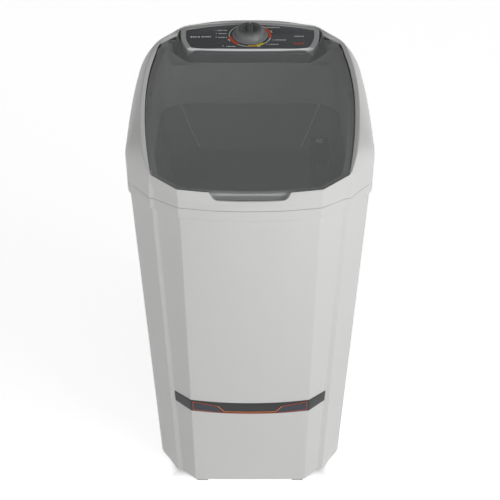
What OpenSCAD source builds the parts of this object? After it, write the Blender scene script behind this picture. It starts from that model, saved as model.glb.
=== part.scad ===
/* [Cabinet] */
// Height of the seam between the cabinet and the top cover
seam_h = 730; // [722:1:738]
// Width at the seam
body_w = 516; // [510:1:524]
// Middle of the machine to the front, at the seam
front_d = 271.5; // [268:0.5:276]
// Middle of the machine to the back, at the seam
rear_d = 262; // [259:1:266]
// Width of the front face at the seam
face_w = 284; // [276:1:292]
// How far the middle of the front face stands ahead of its edges
face_bow = 16.4; // [14:0.1:18]
// Half width at the outer end of the front corner facet
facet_x = 192.7; // [190:0.1:195]
// Distance forward of the outer end of the front corner facet
facet_d = 215.3; // [212:0.1:218]
// Width of the narrow step beside the front corner facet
step_w = 9.4; // [8:0.1:11]
// Half width where the side begins
side_x = 253; // [250:0.1:254]
// Distance forward where the side begins
side_d = 135.3; // [125:0.1:145]
// Half width where the side ends at the back
end_x = 247; // [243:0.1:250]
// Distance back where the side ends
end_d = 157; // [154:0.1:160]
// Half width of the rear corner
rear_x = 214; // [208:1:220]
// Set-in of the rear corner from the back
rear_in = 47; // [40:1:52]
// Width of the flat back
back_w = 300; // [290:1:310]
// Step in, at the front, below the rim band
rim_step = 7.5; // [5:0.1:9]
// Step in, at the sides, below the rim band
rim_side_step = 4.5; // [3:0.1:6]
// Step in, at the back, below the rim band
rim_back_step = 12; // [10:0.1:14]
// Height of the rim band
rim_band_h = 26; // [20:1:30]
// Width at the bottom edge
base_w = 431; // [425:1:440]
// Set-in of the front at the bottom edge, from the front at the seam
base_lean = 31.5; // [28:0.5:35]
// Width of the front face at the bottom edge
base_face_w = 254.4; // [248:0.1:260]
// Half width at the outer end of the corner facet, at the bottom edge
base_facet_x = 158.8; // [155:0.1:162]
// Distance forward of the outer end of the corner facet, at the bottom edge
base_facet_d = 207.5; // [204:0.1:210]
// Half width where the side begins, at the bottom edge
base_side_x = 212.6; // [209:0.1:214]
// Distance forward where the side begins, at the bottom edge
base_side_d = 135.3; // [125:0.1:145]
// Thickness of the moulded cabinet wall
cabinet_t = 3.5; // [3:0.1:4]
// Width of the lip turned in at the bottom edge
lip_w = 34; // [32:1:38]
// Thickness of the lips and the base frame
lip_t = 3; // [2.5:0.1:4]
// Height of the foot pads under the bottom edge
foot_h = 5; // [4:0.5:8]

/* [Trim strip] */
// Height of the lower edge of the dark strip on the front
strip_lo = 207; // [190:1:215]
// Height of the dark strip
strip_h = 30; // [24:1:36]
// Thickness of the dark strip
strip_t = 1.5; // [1:0.1:2.5]

/* [Lid] */
// Height of the front edge of the lid
lid_front_h = 765; // [760:1:770]
// Height gained from the front edge to the tips of the lid
lid_rise = 171.7; // [165:0.1:178]
// How far the middle of the lid's side line stands above a straight line
lid_arch = 18.3; // [14:0.1:22]
// How far the front edge of the lid stands behind the front of the machine
fascia_lean = 13.5; // [11.5:0.5:15.5]
// Widest part of the lid
lid_w = 432.8; // [430:0.1:436]
// Width of the lid at its front corners
lid_corner_w = 387; // [384:0.1:389]
// Distance forward of the lid's front corners
lid_corner_d = 218.5; // [216:0.1:220]
// Width of the lid's rear corners
lid_tail_w = 392; // [390:0.1:395]
// How far the tips of the lid reach behind its hinge line
tip_over = 8; // [7.5:0.1:9]
// Half width at the outer corner of each tip
tip_x = 160; // [159:0.1:161]
// Thickness of the smoked lid
lid_t = 3; // [2.5:0.1:3.5]
// Height of the lid's crown in the middle
lid_crown = 8; // [4:0.1:12]
// Gap round the lid
lid_gap = 3; // [2.5:0.1:3.5]

/* [Hinge] */
// Distance of the hinge line behind the console's front edge
hinge_in = 60; // [59:0.5:61]
// Height of the hinge line
hinge_z = 928; // [927.5:0.1:928.4]
// Radius of the hinge pins
pin_r = 2.5; // [2:0.1:3]
// Radial running clearance of the hinge pins
pin_fit = 0.05; // [0.02:0.01:0.1]

/* [Top cover] */
// Wall of the moulded top cover
cover_t = 3; // [2.5:0.1:3.5]
// Width of the bevel between the lid and the crest of the arms
bevel_w = 9; // [7:0.1:10]
// Rise of the crest above the edge of the lid
crest_rise = 4; // [2:0.1:5]
// Depth of the ledge below the top of the lid
ledge_drop = 8; // [7:0.1:10]
// Width of the ledge that the lid lies over
ledge_w = 12; // [10:0.1:14]
// Half width of the finger scoop at its top
scoop_x = 84; // [78:1:90]
// Height of the fascia's crease over the seam
crease_over = 14; // [12:0.5:16]
// Height of the scoop's lower edge over the seam
scoop_over = 19; // [17:0.5:20]

/* [Console] */
// Depth of the console from front to back
console_depth = 126; // [124:0.5:128]
// Height of the console's front edge
console_front_h = 919; // [917:0.5:921]
// Tilt of the console
console_tilt = 13; // [11:0.5:14]
// Width of the console at its front
console_w = 272; // [266:1:276]
// Width of the console at its back
console_back_w = 314; // [308:1:316]
// Set-in of the middle of the console's rear edge from the back at the seam
console_in = 14; // [13:0.5:16]
// Height of the console frame
console_h = 22; // [18:0.5:24]
// Distance of the knob's axis behind the console's front edge
knob_in = 71; // [68:0.5:73]
// Radius of the knob's skirt
knob_r = 40; // [36:0.5:42]
// Height of the knob
knob_h = 20; // [17:0.5:22]

/* [Tub] */
// Height of the inside of the tub floor
floor_h = 300; // [290:1:310]
// Thickness of the tub floor
floor_t = 5; // [4:0.1:6]
// Wall of the tub
tub_t = 3; // [2.5:0.1:3.5]
// Half width of the tub at its mouth
mouth_x = 196; // [193:0.5:198]
// Half width of the tub's floor
floor_x = 150; // [146:0.5:152]
// Distance back of the drive axis, negative towards the front
axis_y = -33; // [-36:0.5:-30]
// Radius of the agitator
agitator_r = 122; // [110:1:126]

/* [Drive] */
// Radius of the agitator shaft
shaft_r = 8; // [7:0.1:9]
// Radial running clearance of the shafts
shaft_fit = 0.05; // [0.02:0.01:0.1]
// Working radius of the large pulley
big_pulley_r = 95; // [85:1:100]
// Working radius of the motor pulley
small_pulley_r = 19; // [16:0.5:24]
// Height of the middle of the belt
belt_h = 160; // [150:1:170]
// Distance between the drive axis and the motor axis
motor_gap = 158; // [154:1:164]
// Width across the motor's stack
motor_w = 104; // [96:1:110]
// Radius of the motor shaft
motor_shaft_r = 6; // [5:0.1:7]

/* [Connections] */
// Radius of the drain spigot
spigot_r = 12.5; // [10:0.1:14]
// Length of the drain spigot outside the cabinet
spigot_l = 21.5; // [18:0.5:24]
// Radius of the bore in the cord gland
gland_r = 4.2; // [3.5:0.1:5]

/* [Hidden] */
$fn = 48;
eps = 0.01;
shell = "#c8c8c8";
smoke = "#55585a";
dark = "#3c3e40";
steel = "#9fa3a6";
black = "#26282a";

// Middle of the machine to the front edge of the lid, and to the front at the bottom edge
lid_front_d = front_d - fascia_lean;
base_front_d = front_d - base_lean;

// Places of the console, the knob, the hinge and the tips of the lid, behind the middle of the machine
console_rear = rear_d - console_in;
console_front = console_rear - console_depth;
knob_y = console_front + knob_in;
hinge_y = console_front + hinge_in;
tip_d = hinge_y + tip_over;

// Heights that other pieces are measured from
waist_h = seam_h - rim_band_h;
shelf_h = seam_h - 8;
flange_t = 4;
mouth_h = shelf_h + flange_t;

// The three outlines of the cabinet, each as
// [half width, front, back, half face, bow, facet x, facet y, step, set-back, side x, side y,
//  end x, end y, rear corner x, rear corner y, half of the flat back]
rim = [
    body_w / 2, front_d, rear_d, face_w / 2, face_bow, facet_x, facet_d, step_w, step_w - 0.6,
    side_x, side_d, end_x, end_d, rear_x, rear_d - rear_in, back_w / 2
];
fx = 1 - rim_side_step * 2 / body_w;
fy = 1 - rim_step / front_d;
back_d = rear_d - rim_back_step;
waist = [
    rim[0] * fx, rim[1] * fy, back_d, rim[3] * fx, rim[4] * fy, rim[5] * fx, rim[6] * fy,
    rim[7], rim[8], rim[9] * fx, rim[10] * fy, rim[11] * fx, rim[12] * fy, rim[13] * fx,
    back_d - rear_in, rim[15]
];
base = [
    base_w / 2, base_front_d, back_d, base_face_w / 2, 1, base_facet_x, base_facet_d, 12, 1,
    base_side_x, base_side_d, base_w / 2 - 4, end_d - 20, base_w / 2 - 30, back_d - 36,
    back_w / 2 - 8
];

// Half of an outline from the front centre, past the side, to the back centre
function half_plan(v) = [
    [0, -v[1]],
    [v[3] * 0.55, -v[1] + v[4] * 0.28],
    [v[3], -v[1] + v[4]],
    [v[5], -v[6]],
    [v[5] + v[7], -v[6] + v[8]],
    [(v[5] + v[7] + v[9]) / 2, (-v[6] + v[8] - v[10]) / 2],
    for (i = [0:6])
        let (y = -v[10] + (v[10] + v[12]) * i / 6)
        [
            y < 0 ? v[0] - (v[0] - v[9]) * pow(y / v[10], 2)
                  : v[0] - (v[0] - v[11]) * pow(y / v[12], 2),
            y
        ],
    [v[13], v[14]],
    [v[15], v[2]],
    [v[15] / 2, v[2]],
    [0, v[2]]
];
half_n = 17;
ring_n = 2 * (half_n - 1);

// A half outline and its mirror image as one closed loop
function mirrored(q) = len(q) > 2 ? [-q[0], q[1], q[2]] : [-q[0], q[1]];
function both(h) = concat(h, [for (i = [len(h) - 2:-1:1]) mirrored(h[i])]);
function flat(p) = [for (q = p) [q[0], q[1]]];
function at(p, z) = [for (q = p) [q[0], q[1], z]];
function unit(v) = v / norm(v);
function mix(a, b, t) = a + (b - a) * t;
// Outward normal at each point of a closed loop
function normals(p) = let (n = len(p)) [
    for (i = [0:n - 1])
        let (a = unit(p[i] - p[(i + n - 1) % n]), b = unit(p[(i + 1) % n] - p[i]))
        unit([a[1] + b[1], -a[0] - b[0]]) / max(0.5, sqrt((1 + a * b) / 2))
];
function inset(p, d) = let (m = normals(p)) [for (i = [0:len(p) - 1]) p[i] - m[i] * d];
function loop(v) = both(half_plan(v));
// Outline of the body at a height between the bottom edge and the waist
function body_at(z) = mix(base, waist, (z - foot_h) / (waist_h - foot_h));

// Solid from a stack of loops that closes on itself like a ring; its left half mirrors its right
module ring_solid(r) {
    m = len(r);
    n = len(r[0]);
    polyhedron(
        points = [for (loop = r) each loop],
        faces = [
            for (j = [0:m - 1], i = [0:n - 1])
                let (k = (i + 1) % n, a = j * n + i, b = j * n + k, u = (j + 1) % m * n, c = u + i, d = u + k)
                each (i < n / 2 ? [[a, c, d], [a, d, b]] : [[a, c, b], [c, d, b]])
        ],
        convexity = 8
    );
}

// Solid from a stack of loops, with a fan of triangles over each end of the stack
function middle(p) = [for (k = [0:2]) [for (q = p) q[k]] * [for (q = p) 1] / len(p)];
module capped_solid(r) {
    m = len(r);
    n = len(r[0]);
    c0 = m * n;
    c1 = m * n + 1;
    polyhedron(
        points = concat([for (loop = r) each loop], [middle(r[0]), middle(r[m - 1])]),
        faces = concat(
            [for (i = [0:n - 1]) [i, (i + 1) % n, c0]],
            [for (i = [0:n - 1]) [(m - 1) * n + (i + 1) % n, (m - 1) * n + i, c1]],
            [
                for (j = [0:m - 2], i = [0:n - 1])
                    let (k = (i + 1) % n)
                    each [
                        [j * n + i, (j + 1) * n + i, (j + 1) * n + k],
                        [j * n + i, (j + 1) * n + k, j * n + k]
                    ]
            ]
        ),
        convexity = 8
    );
}

// Round solid between two heights
module post(r, z0, z1) {
    translate([0, 0, z0]) cylinder(r = r, h = z1 - z0);
}

// Round solid along X between two places
module pin_x(r, x0, x1) {
    translate([x0, 0, 0]) rotate([0, 90, 0]) cylinder(r = r, h = x1 - x0);
}

// Screw with its head at the origin and its point towards -Z
module screw(r, l, head_r, head_h) {
    difference() {
        union() {
            translate([0, 0, -l]) cylinder(r = r, h = l + eps);
            cylinder(r = head_r, h = head_h);
        }
        translate([-head_r * 0.6, -0.4, head_h * 0.5]) cube([head_r * 1.2, 0.8, head_h]);
        translate([-0.4, -head_r * 0.6, head_h * 0.5]) cube([0.8, head_r * 1.2, head_h]);
    }
}

// Places of what holds the cabinet, cover and tub together
cover_screw_r = 2;
front_foot_at = [111, -base_front_d + 13];
rear_foot_at = [122, back_d - 15];
foot_size = [26, 20];
foot_stem_r = 5;
base_screw_at = [[150, -150], [165, 0], [150, 150]];
service_w = 160;
service_lo = 45;
service_hi = 275;
outlet_at = [-118, back_d, 95];
gland_at = [125, back_d, 140];
gland_hole_r = 8;
outlet_hole_r = spigot_r + 3;
cover_lap = 14;
shelf_w = 12;
cover_skin = 2;

module cabinet() {
    top = loop(rim);
    mid = loop(waist);
    low = loop(base);
    shelf_edge = inset(mid, cabinet_t + shelf_w);
    color(shell)
    difference() {
        ring_solid([
            at(low, foot_h),
            at(loop(body_at(strip_lo)), strip_lo),
            at(loop(body_at(strip_lo + strip_h)), strip_lo + strip_h),
            at(mid, waist_h),
            at(inset(top, 0.8), waist_h + 3),
            at(top, waist_h + 6),
            at(top, seam_h),
            at(inset(top, cabinet_t), seam_h),
            at(inset(top, cabinet_t), shelf_h),
            at(shelf_edge, shelf_h),
            at(shelf_edge, shelf_h - lip_t),
            at(inset(top, cabinet_t), shelf_h - lip_t),
            at(inset(top, cabinet_t), waist_h + 8),
            at(inset(mid, cabinet_t), waist_h),
            at(inset(low, cabinet_t), foot_h + lip_t),
            at(inset(low, lip_w), foot_h + lip_t),
            at(inset(low, lip_w), foot_h)
        ]);
        translate([-service_w / 2, back_d - cabinet_t - 4, service_lo])
            cube([service_w, cabinet_t + 8, service_hi - service_lo]);
        translate(outlet_at) rotate([90, 0, 0])
            cylinder(r = outlet_hole_r, h = 30, center = true);
        translate(gland_at) rotate([90, 0, 0])
            cylinder(r = gland_hole_r, h = 30, center = true);
        for (s = [-1, 1], f = [front_foot_at, rear_foot_at])
            translate([s * f[0], f[1], foot_h - 1]) cylinder(r = foot_stem_r, h = lip_t + 2);
        for (s = [-1, 1], b = base_screw_at)
            translate([s * b[0], b[1], foot_h - 1]) cylinder(r = 2.2, h = lip_t + 2);
        for (s = [-1, 1], c = cover_post_at)
            translate([s * c[0], c[1], 0]) post(2.2, shelf_h - lip_t - 1, shelf_h + 1);
        for (s = [-1, 1], z = [service_lo - 7, service_hi + 7])
            translate([s * (service_w / 2 - 12), back_d, z]) rotate([90, 0, 0])
                cylinder(r = 1.8, h = 20, center = true);
    }
}

// Part of an outline from the left corner facet, across the face, to the right one
function front_run(p) = [for (i = [-3:3]) p[(i + ring_n) % ring_n]];

strip_gap = 0.2;
// Dark strip that wraps the front face and both corner facets
module trim_strip() {
    hi = strip_lo + strip_h;
    a = front_run(inset(loop(body_at(strip_lo)), -strip_gap));
    b = front_run(inset(loop(body_at(hi)), -strip_gap));
    a_out = front_run(inset(loop(body_at(strip_lo)), -strip_gap - strip_t));
    b_out = front_run(inset(loop(body_at(hi)), -strip_gap - strip_t));
    color(dark)
    capped_solid([
        for (i = [0:len(a) - 1]) [
            [a[i][0], a[i][1], strip_lo],
            [b[i][0], b[i][1], hi],
            [b_out[i][0], b_out[i][1], hi],
            [a_out[i][0], a_out[i][1], strip_lo]
        ]
    ]);
}

module rear_cover() {
    w = service_w + 2 * cover_lap;
    h = service_hi - service_lo + 2 * cover_lap;
    slot_h = 5;
    color(dark)
    translate([-w / 2, back_d, service_lo - cover_lap])
    difference() {
        union() {
            cube([w, cover_skin, h]);
            // Rib that fits inside the service opening
            translate([cover_lap + 1, -3, cover_lap + 1])
                cube([w - 2 * cover_lap - 2, 3 + eps, h - 2 * cover_lap - 2]);
        }
        translate([cover_lap + 3, -4, cover_lap + 3]) cube([w - 2 * cover_lap - 6, 4, h - 2 * cover_lap - 6]);
        for (i = [0:8], s = [-1, 1])
            translate([w / 2 + s * 36 - 28, -4, h / 2 - 50 + i * 12]) cube([56, 10, slot_h]);
        for (s = [0, 1], z = [cover_lap - 7, h - cover_lap + 7])
            translate([cover_lap + 12 + s * (service_w - 24), 0, z]) rotate([90, 0, 0])
                cylinder(r = 2.2, h = 20, center = true);
    }
}

module rear_cover_screws() {
    color(steel)
    for (s = [-1, 1], z = [service_lo - 7, service_hi + 7])
        translate([s * (service_w / 2 - 12), back_d + cover_skin, z]) rotate([-90, 0, 0])
            screw(1.8, 9, 4, 2);
}

base_gap = 0.5;
module base_frame() {
    outer = inset(loop(base), cabinet_t + base_gap + 2);
    inner = inset(loop(base), 58);
    z = foot_h + lip_t;
    bar_y = [-70, 60];
    color(black)
    difference() {
        union() {
            translate([0, 0, z]) linear_extrude(lip_t) difference() {
                polygon(outer);
                polygon(inner);
            }
            // Two cross bars with upright webs
            for (y = bar_y) {
                translate([-base_w / 2 + 45, y - 20, z]) cube([base_w - 90, 40, lip_t]);
                translate([-base_w / 2 + 45, y - 2, z]) cube([base_w - 90, 4, 18]);
            }
        }
        for (s = [-1, 1], f = [front_foot_at, rear_foot_at])
            translate([s * f[0], f[1], z - 1]) cylinder(r = foot_stem_r, h = lip_t + 2);
        for (s = [-1, 1], b = base_screw_at)
            translate([s * b[0], b[1], z - 1]) cylinder(r = 1.8, h = lip_t + 2);
    }
}

module base_screws() {
    color(steel)
    for (s = [-1, 1], b = base_screw_at)
        translate([s * b[0], b[1], foot_h]) rotate([180, 0, 0]) screw(1.8, 8, 4, 2);
}

module foot_pad(at_xy) {
    z = foot_h + 2 * lip_t;
    for (s = [-1, 1])
        translate([s * at_xy[0], at_xy[1], 0]) {
            translate([-foot_size[0] / 2, -foot_size[1] / 2, 0]) cube([foot_size[0], foot_size[1], foot_h]);
            post(foot_stem_r, foot_h - eps, z + 3);
            // Snap head over the base frame
            post(foot_stem_r + 1.5, z, z + 3);
        }
}
module front_feet() { color(black) foot_pad(front_foot_at); }
module rear_feet() { color(black) foot_pad(rear_foot_at); }

// Smooth step from 0 at a to 1 at b
function ramp(i, a, b) = let (t = min(1, max(0, (i - a) / (b - a)))) t * t * (3 - 2 * t);

// Height of the lid's side line at a place along the depth
lid_len = tip_d + lid_front_d;
function lid_z(y) = let (q = (y + lid_front_d) / lid_len)
    lid_front_h + lid_rise * q + 4 * lid_arch * q * (1 - q);
// Half width of the lid, widest a little in front of the middle
lid_wide_y = -15;
function lid_half(y) = y < lid_wide_y
    ? lid_w / 2 - (lid_w - lid_corner_w) / 2 * pow((y - lid_wide_y) / (lid_corner_d + lid_wide_y), 2)
    : lid_w / 2 - (lid_w - lid_tail_w) / 2 * pow((y - lid_wide_y) / (end_d - lid_wide_y), 2);
// Front edge of the lid: a slight bow, then a straight run to the corner
lid_bow = 8.7;
function lid_front_y(x) = let (h = face_w / 2)
    abs(x) <= h ? -lid_front_d + lid_bow * pow(x / h, 2)
    : mix(-lid_front_d + lid_bow, -lid_corner_d, (abs(x) - h) / (lid_corner_w / 2 - h));
// Height of the console's top face over a place along the depth
function console_z(y) = console_front_h + (y - console_front) * tan(console_tilt);
console_bow = 26;
function console_back(x) = console_rear - console_bow * pow(2 * x / console_back_w, 2);

// Half outline of the opening in the cover, with heights: the lid's edge, then the console's
rim_half = half_plan(rim);
opening_half = [
    for (i = [0:2]) [rim_half[i][0], lid_front_y(rim_half[i][0]), lid_z(lid_front_y(rim_half[i][0]))],
    [lid_corner_w / 2, -lid_corner_d, lid_z(-lid_corner_d)],
    for (i = [4:12]) let (y = rim_half[i][1]) [lid_half(y), y, lid_z(y)],
    [tip_x, tip_d, lid_z(tip_d)],
    for (c = [
        [console_back_w / 2 + 2, console_rear - 24], [80, console_back(80) + 3.6], [0, console_rear + 2.4]
    ])
        [c[0], c[1], console_z(c[1])]
];
last = half_n - 1;
opening = both(opening_half);
out_n = normals(flat(opening));
rim_n = normals(loop(rim));
function half_i(i) = i <= last ? i : ring_n - i;

// Rounded outline of the well, as a half loop with the same number of points as the cabinet
function well_half(hw, front, back, cf, cr) = [
    [0, -front],
    [(hw - cf) / 2, -front],
    for (a = [0:30:90]) [hw - cf + cf * sin(a), -front + cf - cf * cos(a)],
    for (k = [1:5]) [hw, mix(-front + cf, back - cr, k / 6)],
    for (a = [90:-30:0]) [hw - cr + cr * sin(a), back - cr + cr * cos(a)],
    [(hw - cr) / 2, back],
    [0, back]
];
mouth_front = front_d - 43.5;
mouth_back = rear_d - 121;
mouth = both(well_half(mouth_x, mouth_front, mouth_back, 100, 70));
collar_x = mouth_x + 7;
collar_front = mouth_front + 10;
collar_back = mouth_back + 29;
collar = both(well_half(collar_x, collar_front, collar_back, 100, 60));
function collar_z(y) = mix(seam_h + 18, seam_h + 52, (y + collar_front) / (collar_front + collar_back));

// Height of the dry well under the console, and of the lip in front of it
console_lip_h = console_front_h - console_h - 1.5;
console_well_h = console_lip_h - 17;
cover_h = seam_h + 0.6;

// Outer skin of the cover at one station, from the seam to the crest
function crest_at(i) = let (h = half_i(i), gap = h == 13 ? 2 * lid_gap : h > 13 ? 0 : lid_gap)
    let (
        b = h == 14 ? 3 : h > 14 ? bevel_w - 1 : mix(1.5, bevel_w, ramp(h, 3, 5)) - (h == 12 ? 1 : 0),
        up = h == 14 ? -3 : h > 14 ? 1.5 : mix(0.5, crest_rise, ramp(h, 3, 6)) - (h == 12 ? 2 : 0)
    )
    [opening[i][0] + out_n[i][0] * (gap + b), opening[i][1] + out_n[i][1] * (gap + b), opening[i][2] + up];
function edge_at(i) = let (h = half_i(i), gap = h == 13 ? 2 * lid_gap : h > 13 ? 0 : lid_gap)
    [opening[i][0] + out_n[i][0] * gap, opening[i][1] + out_n[i][1] * gap, opening[i][2]];
function skin_at(i) = let (
        h = half_i(i),
        s = rim_loop[i],
        low = [s[0], s[1], cover_h],
        side = ramp(h, 4, 8) - ramp(h, 12, 14),
        crease_h = mix(crease_over, 60, ramp(h, 1, 7)) + mix(0, 70, ramp(h, 8, 14)),
        crease = [s[0] + rim_n[i][0] * 1.5 * side, s[1] + rim_n[i][1] * 1.5 * side, seam_h + crease_h],
        crest = crest_at(i),
        k = mix(0.1, 0.55, ramp(h, 2, 7)),
        ctrl = [crease[0], crease[1], mix(crease[2], crest[2], k)]
    )
    [
        low,
        crease,
        for (t = [0.25, 0.5, 0.75])
            crease * (1 - t) * (1 - t) + ctrl * 2 * t * (1 - t) + crest * t * t,
        crest
    ];
function on_skin(i, z) = let (s = skin_at(i)) [
    lookup(z, [for (p = s) [p[2], p[0]]]) - rim_n[i][0] * cover_t,
    lookup(z, [for (p = s) [p[2], p[1]]]) - rim_n[i][1] * cover_t,
    z
];

collar_out = inset(collar, -cover_t);
mouth_out = inset(mouth, -cover_t);
rim_loop = loop(rim);

// Closed profile of the cover at one station
function cover_profile(i) = let (
        h = half_i(i),
        back = h > 12,
        sx = i <= last ? 1 : -1,
        skin = skin_at(i),
        edge = edge_at(i),
        drop = h == 12 ? ledge_drop + 4 : ledge_drop,
        shelf_z = back ? console_well_h : edge[2] - drop,
        shelf = [edge[0], edge[1], shelf_z],
        c = collar[i],
        c_out = collar_out[i],
        in_y = opening[i][1] - out_n[i][1] * ledge_w,
        inner = back
            ? (h == 13 ? [sx * (console_w / 2 - 2), console_front + 3, console_lip_h]
                : [sx * [100, 50, 0][h - 14], console_front + 1, console_lip_h])
            : [opening[i][0] - out_n[i][0] * ledge_w, in_y, lid_z(in_y) - drop],
        turn = back ? [c[0], c[1] + 1, console_well_h] : (shelf + inner) / 2,
        under = back ? cover_t : 1.5,
        top = back ? [c[0], c[1] + 1, console_well_h - cover_t] : [inner[0], inner[1], inner[2] - 4],
        top_out = back
            ? [c_out[0], c_out[1] + 1, console_well_h - cover_t]
            : [inner[0] + out_n[i][0] * cover_t, inner[1] + out_n[i][1] * cover_t, inner[2] - cover_t],
        skin_z = shelf_z - cover_t,
        crease_z = skin[1][2]
    )
    [
        each skin,
        edge,
        shelf,
        turn,
        inner,
        [inner[0], inner[1], inner[2] - under],
        top,
        [c[0], c[1], collar_z(c[1])],
        [mouth[i][0], mouth[i][1], mouth_h],
        [mouth_out[i][0], mouth_out[i][1], mouth_h],
        [c_out[0], c_out[1], collar_z(c[1])],
        top_out,
        on_skin(i, skin_z),
        on_skin(i, mix(skin_z, crease_z, 0.35)),
        on_skin(i, mix(skin_z, crease_z, 0.7)),
        on_skin(i, crease_z),
        on_skin(i, cover_h)
    ];

// Rounded outline of the finger scoop in the front, seen from the front
scoop_r = 17;
scoop_top = lid_front_h + 20;
function scoop_outline(grow) = let (
        z0 = seam_h + scoop_over - grow,
        x0 = scoop_x - 21 + grow
    )
    concat(
        [for (a = [0:14:70]) [x0 + scoop_r * sin(a), z0 + scoop_r - scoop_r * cos(a)]],
        [[scoop_x + 8 + grow, scoop_top], [-scoop_x - 8 - grow, scoop_top]],
        [for (a = [70:-14:0]) [-x0 - scoop_r * sin(a), z0 + scoop_r - scoop_r * cos(a)]]
    );
module along_y(y0, y1) {
    translate([0, y1, 0]) rotate([90, 0, 0]) linear_extrude(y1 - y0) children();
}

cover_post_r = 5.5;
cover_post_root_r = 10;
cover_post_h = 12;
cover_screw_l = 17;
screw_line = inset(loop(waist), cabinet_t + shelf_w / 2);
post_line = inset(rim_loop, cover_t + 4);
cover_post_k = [1, 8, 11, 15];
cover_post_at = [for (k = cover_post_k) screw_line[k]];
ear_x = 165.4;
ear_w = 6.6;
ear_r = 5;
ear_stem = ear_r - 0.5;
hinge_side_gap = 0.4;
lug_w = 6.5;
lid_relief = 14;
lug_x = ear_x - hinge_side_gap - lug_w;

// What sits in the console's tilted frame, with its origin on the front edge
module tilted() {
    translate([0, console_front, console_front_h]) rotate([console_tilt, 0, 0]) children();
}
console_post_at = [[122, 84], [104, 46]];
function console_post_l(c) =
    (console_front_h + c[1] * sin(console_tilt) - console_h * cos(console_tilt)
        - console_well_h + cover_t / 2)
    / cos(console_tilt);

module top_cover() {
    scoop_back = -lid_front_d + 8;
    color(shell)
    difference() {
        union() {
            stations = [for (i = [0:ring_n - 1]) cover_profile(i)];
            ring_solid([for (k = [0:len(stations[0]) - 1]) [for (p = stations) p[k]]]);
            // Bosses for the screws that come up through the cabinet's shelf
            for (s = [-1, 1], k = cover_post_k) {
                c = screw_line[k];
                r = post_line[k];
                translate([s * c[0], c[1], 0]) {
                    post(cover_post_r, mouth_h, seam_h + 2);
                    post(cover_post_root_r, seam_h + 1, seam_h + cover_post_h);
                }
                translate([s * r[0], r[1], 0]) post(cover_post_r, seam_h + 1, seam_h + cover_post_h);
            }
            // Cup behind the finger scoop
            intersection() {
                along_y(-front_d + 4, scoop_back + 2.5) polygon(scoop_outline(2.5));
                translate([-scoop_x - 30, -front_d, seam_h])
                    cube([2 * scoop_x + 60, 60, lid_front_h - ledge_drop - seam_h]);
            }
            // Ears that hold the hinge pins
            for (s = [-1, 1]) {
                x0 = s > 0 ? ear_x : -ear_x - ear_w;
                translate([0, hinge_y, hinge_z]) pin_x(ear_r, x0, x0 + ear_w);
                translate([x0, hinge_y - ear_stem, console_well_h - 2])
                    cube([ear_w, 2 * ear_stem, hinge_z - console_well_h + 2]);
            }
            // Posts that carry the console frame
            tilted() for (s = [-1, 1], c = console_post_at)
                translate([s * c[0], c[1], -console_h - console_post_l(c)])
                    cylinder(r = 5, h = console_post_l(c));
        }
        along_y(-front_d - 10, scoop_back) polygon(scoop_outline(0));
        for (s = [-1, 1], c = cover_post_at)
            translate([s * c[0], c[1], 0])
                post(cover_screw_r, mouth_h - 1, shelf_h - lip_t + cover_screw_l + 1);
        translate([0, hinge_y, hinge_z]) {
            pin_x(pin_r, ear_x - 1, ear_x + ear_w + 1);
            pin_x(pin_r, -ear_x - ear_w - 1, -ear_x + 1);
        }
        tilted() for (s = [-1, 1], c = console_post_at)
            translate([s * c[0], c[1], -console_h - 12]) cylinder(r = 1.8, h = 14);
        translate([loom_x, loom_y, 0]) post(loom_hole_r, console_well_h - 10, console_well_h + 5);
        bumper_plugs(3);
    }
}
loom_x = 55;
loom_y = rear_d - 47;
loom_hole_r = 7;

module cover_screws() {
    color(steel)
    for (s = [-1, 1], c = cover_post_at)
        translate([s * c[0], c[1], shelf_h - lip_t]) rotate([180, 0, 0])
            screw(cover_screw_r, cover_screw_l, 4, 2.4);
}

// Outline of the console in its own tilted frame
console_len = (console_rear - console_front) / cos(console_tilt);
console_side_y = 0.78 * console_len;
function console_half() = [
    for (x = [0, 0.45, 0.9]) [x * console_w / 2, 3.5 * x * x],
    for (t = [0.35, 0.7, 1])
        let (a = [0.9 * console_w / 2, 3.5 * 0.81], b = [console_w / 2 + 1, 5], c = [console_w / 2 + 4, 24])
        a * (1 - t) * (1 - t) + b * 2 * t * (1 - t) + c * t * t,
    [console_back_w / 2, console_side_y - 4],
    for (f = [0.96, 0.86, 0.6, 0.3, 0])
        [f * console_back_w / 2, (console_back(f * console_back_w / 2) - console_front) / cos(console_tilt)]
];
console_loop = both(console_half());
// Lower edge of the console frame, under its upper edge, because its sides stand upright
console_foot = [for (p = console_loop) [p[0], p[1] - console_h * tan(console_tilt)]];
// Half width of the console at a place along its own depth
function console_side(y) =
    mix(console_w / 2 + 4, console_back_w / 2, (y - 24) / (console_side_y - 28));

module console_frame() {
    color("#8f9191")
    tilted() {
        ring_solid([
            at(console_foot, -console_h),
            at(console_loop, -6),
            at(inset(console_loop, 2), -2),
            at(inset(console_loop, 5), 0),
            at(inset(console_loop, plate_in), 0),
            at(inset(console_loop, plate_in), -plate_t - 0.3),
            at(inset(console_loop, plate_in + plate_rest_w), -plate_t - 0.3),
            at(inset(console_loop, plate_in + plate_rest_w), -plate_t - 3),
            at(inset(console_loop, 4), -plate_t - 6),
            at(inset(console_foot, 3), -console_h)
        ]);
        // Tabs with the screw holes, over the posts
        for (s = [-1, 1], c = console_post_at) difference() {
            w = console_side(c[1]) - 1.2 - c[0] + tab_over;
            translate([s > 0 ? c[0] - tab_over : -c[0] + tab_over - w, c[1] - 7, -console_h])
                cube([w, 14, tab_t]);
            translate([s * c[0], c[1], -console_h - 1]) cylinder(r = 2, h = tab_t + 2);
        }
    }
}
tab_t = 2.5;
tab_over = 8;
plate_in = 9;
plate_rest_w = 5;
plate_t = 2;
plate_gap = 0.3;
shaft_at = (knob_y - console_front) / cos(console_tilt);
timer_shaft_r = 3;

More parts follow.
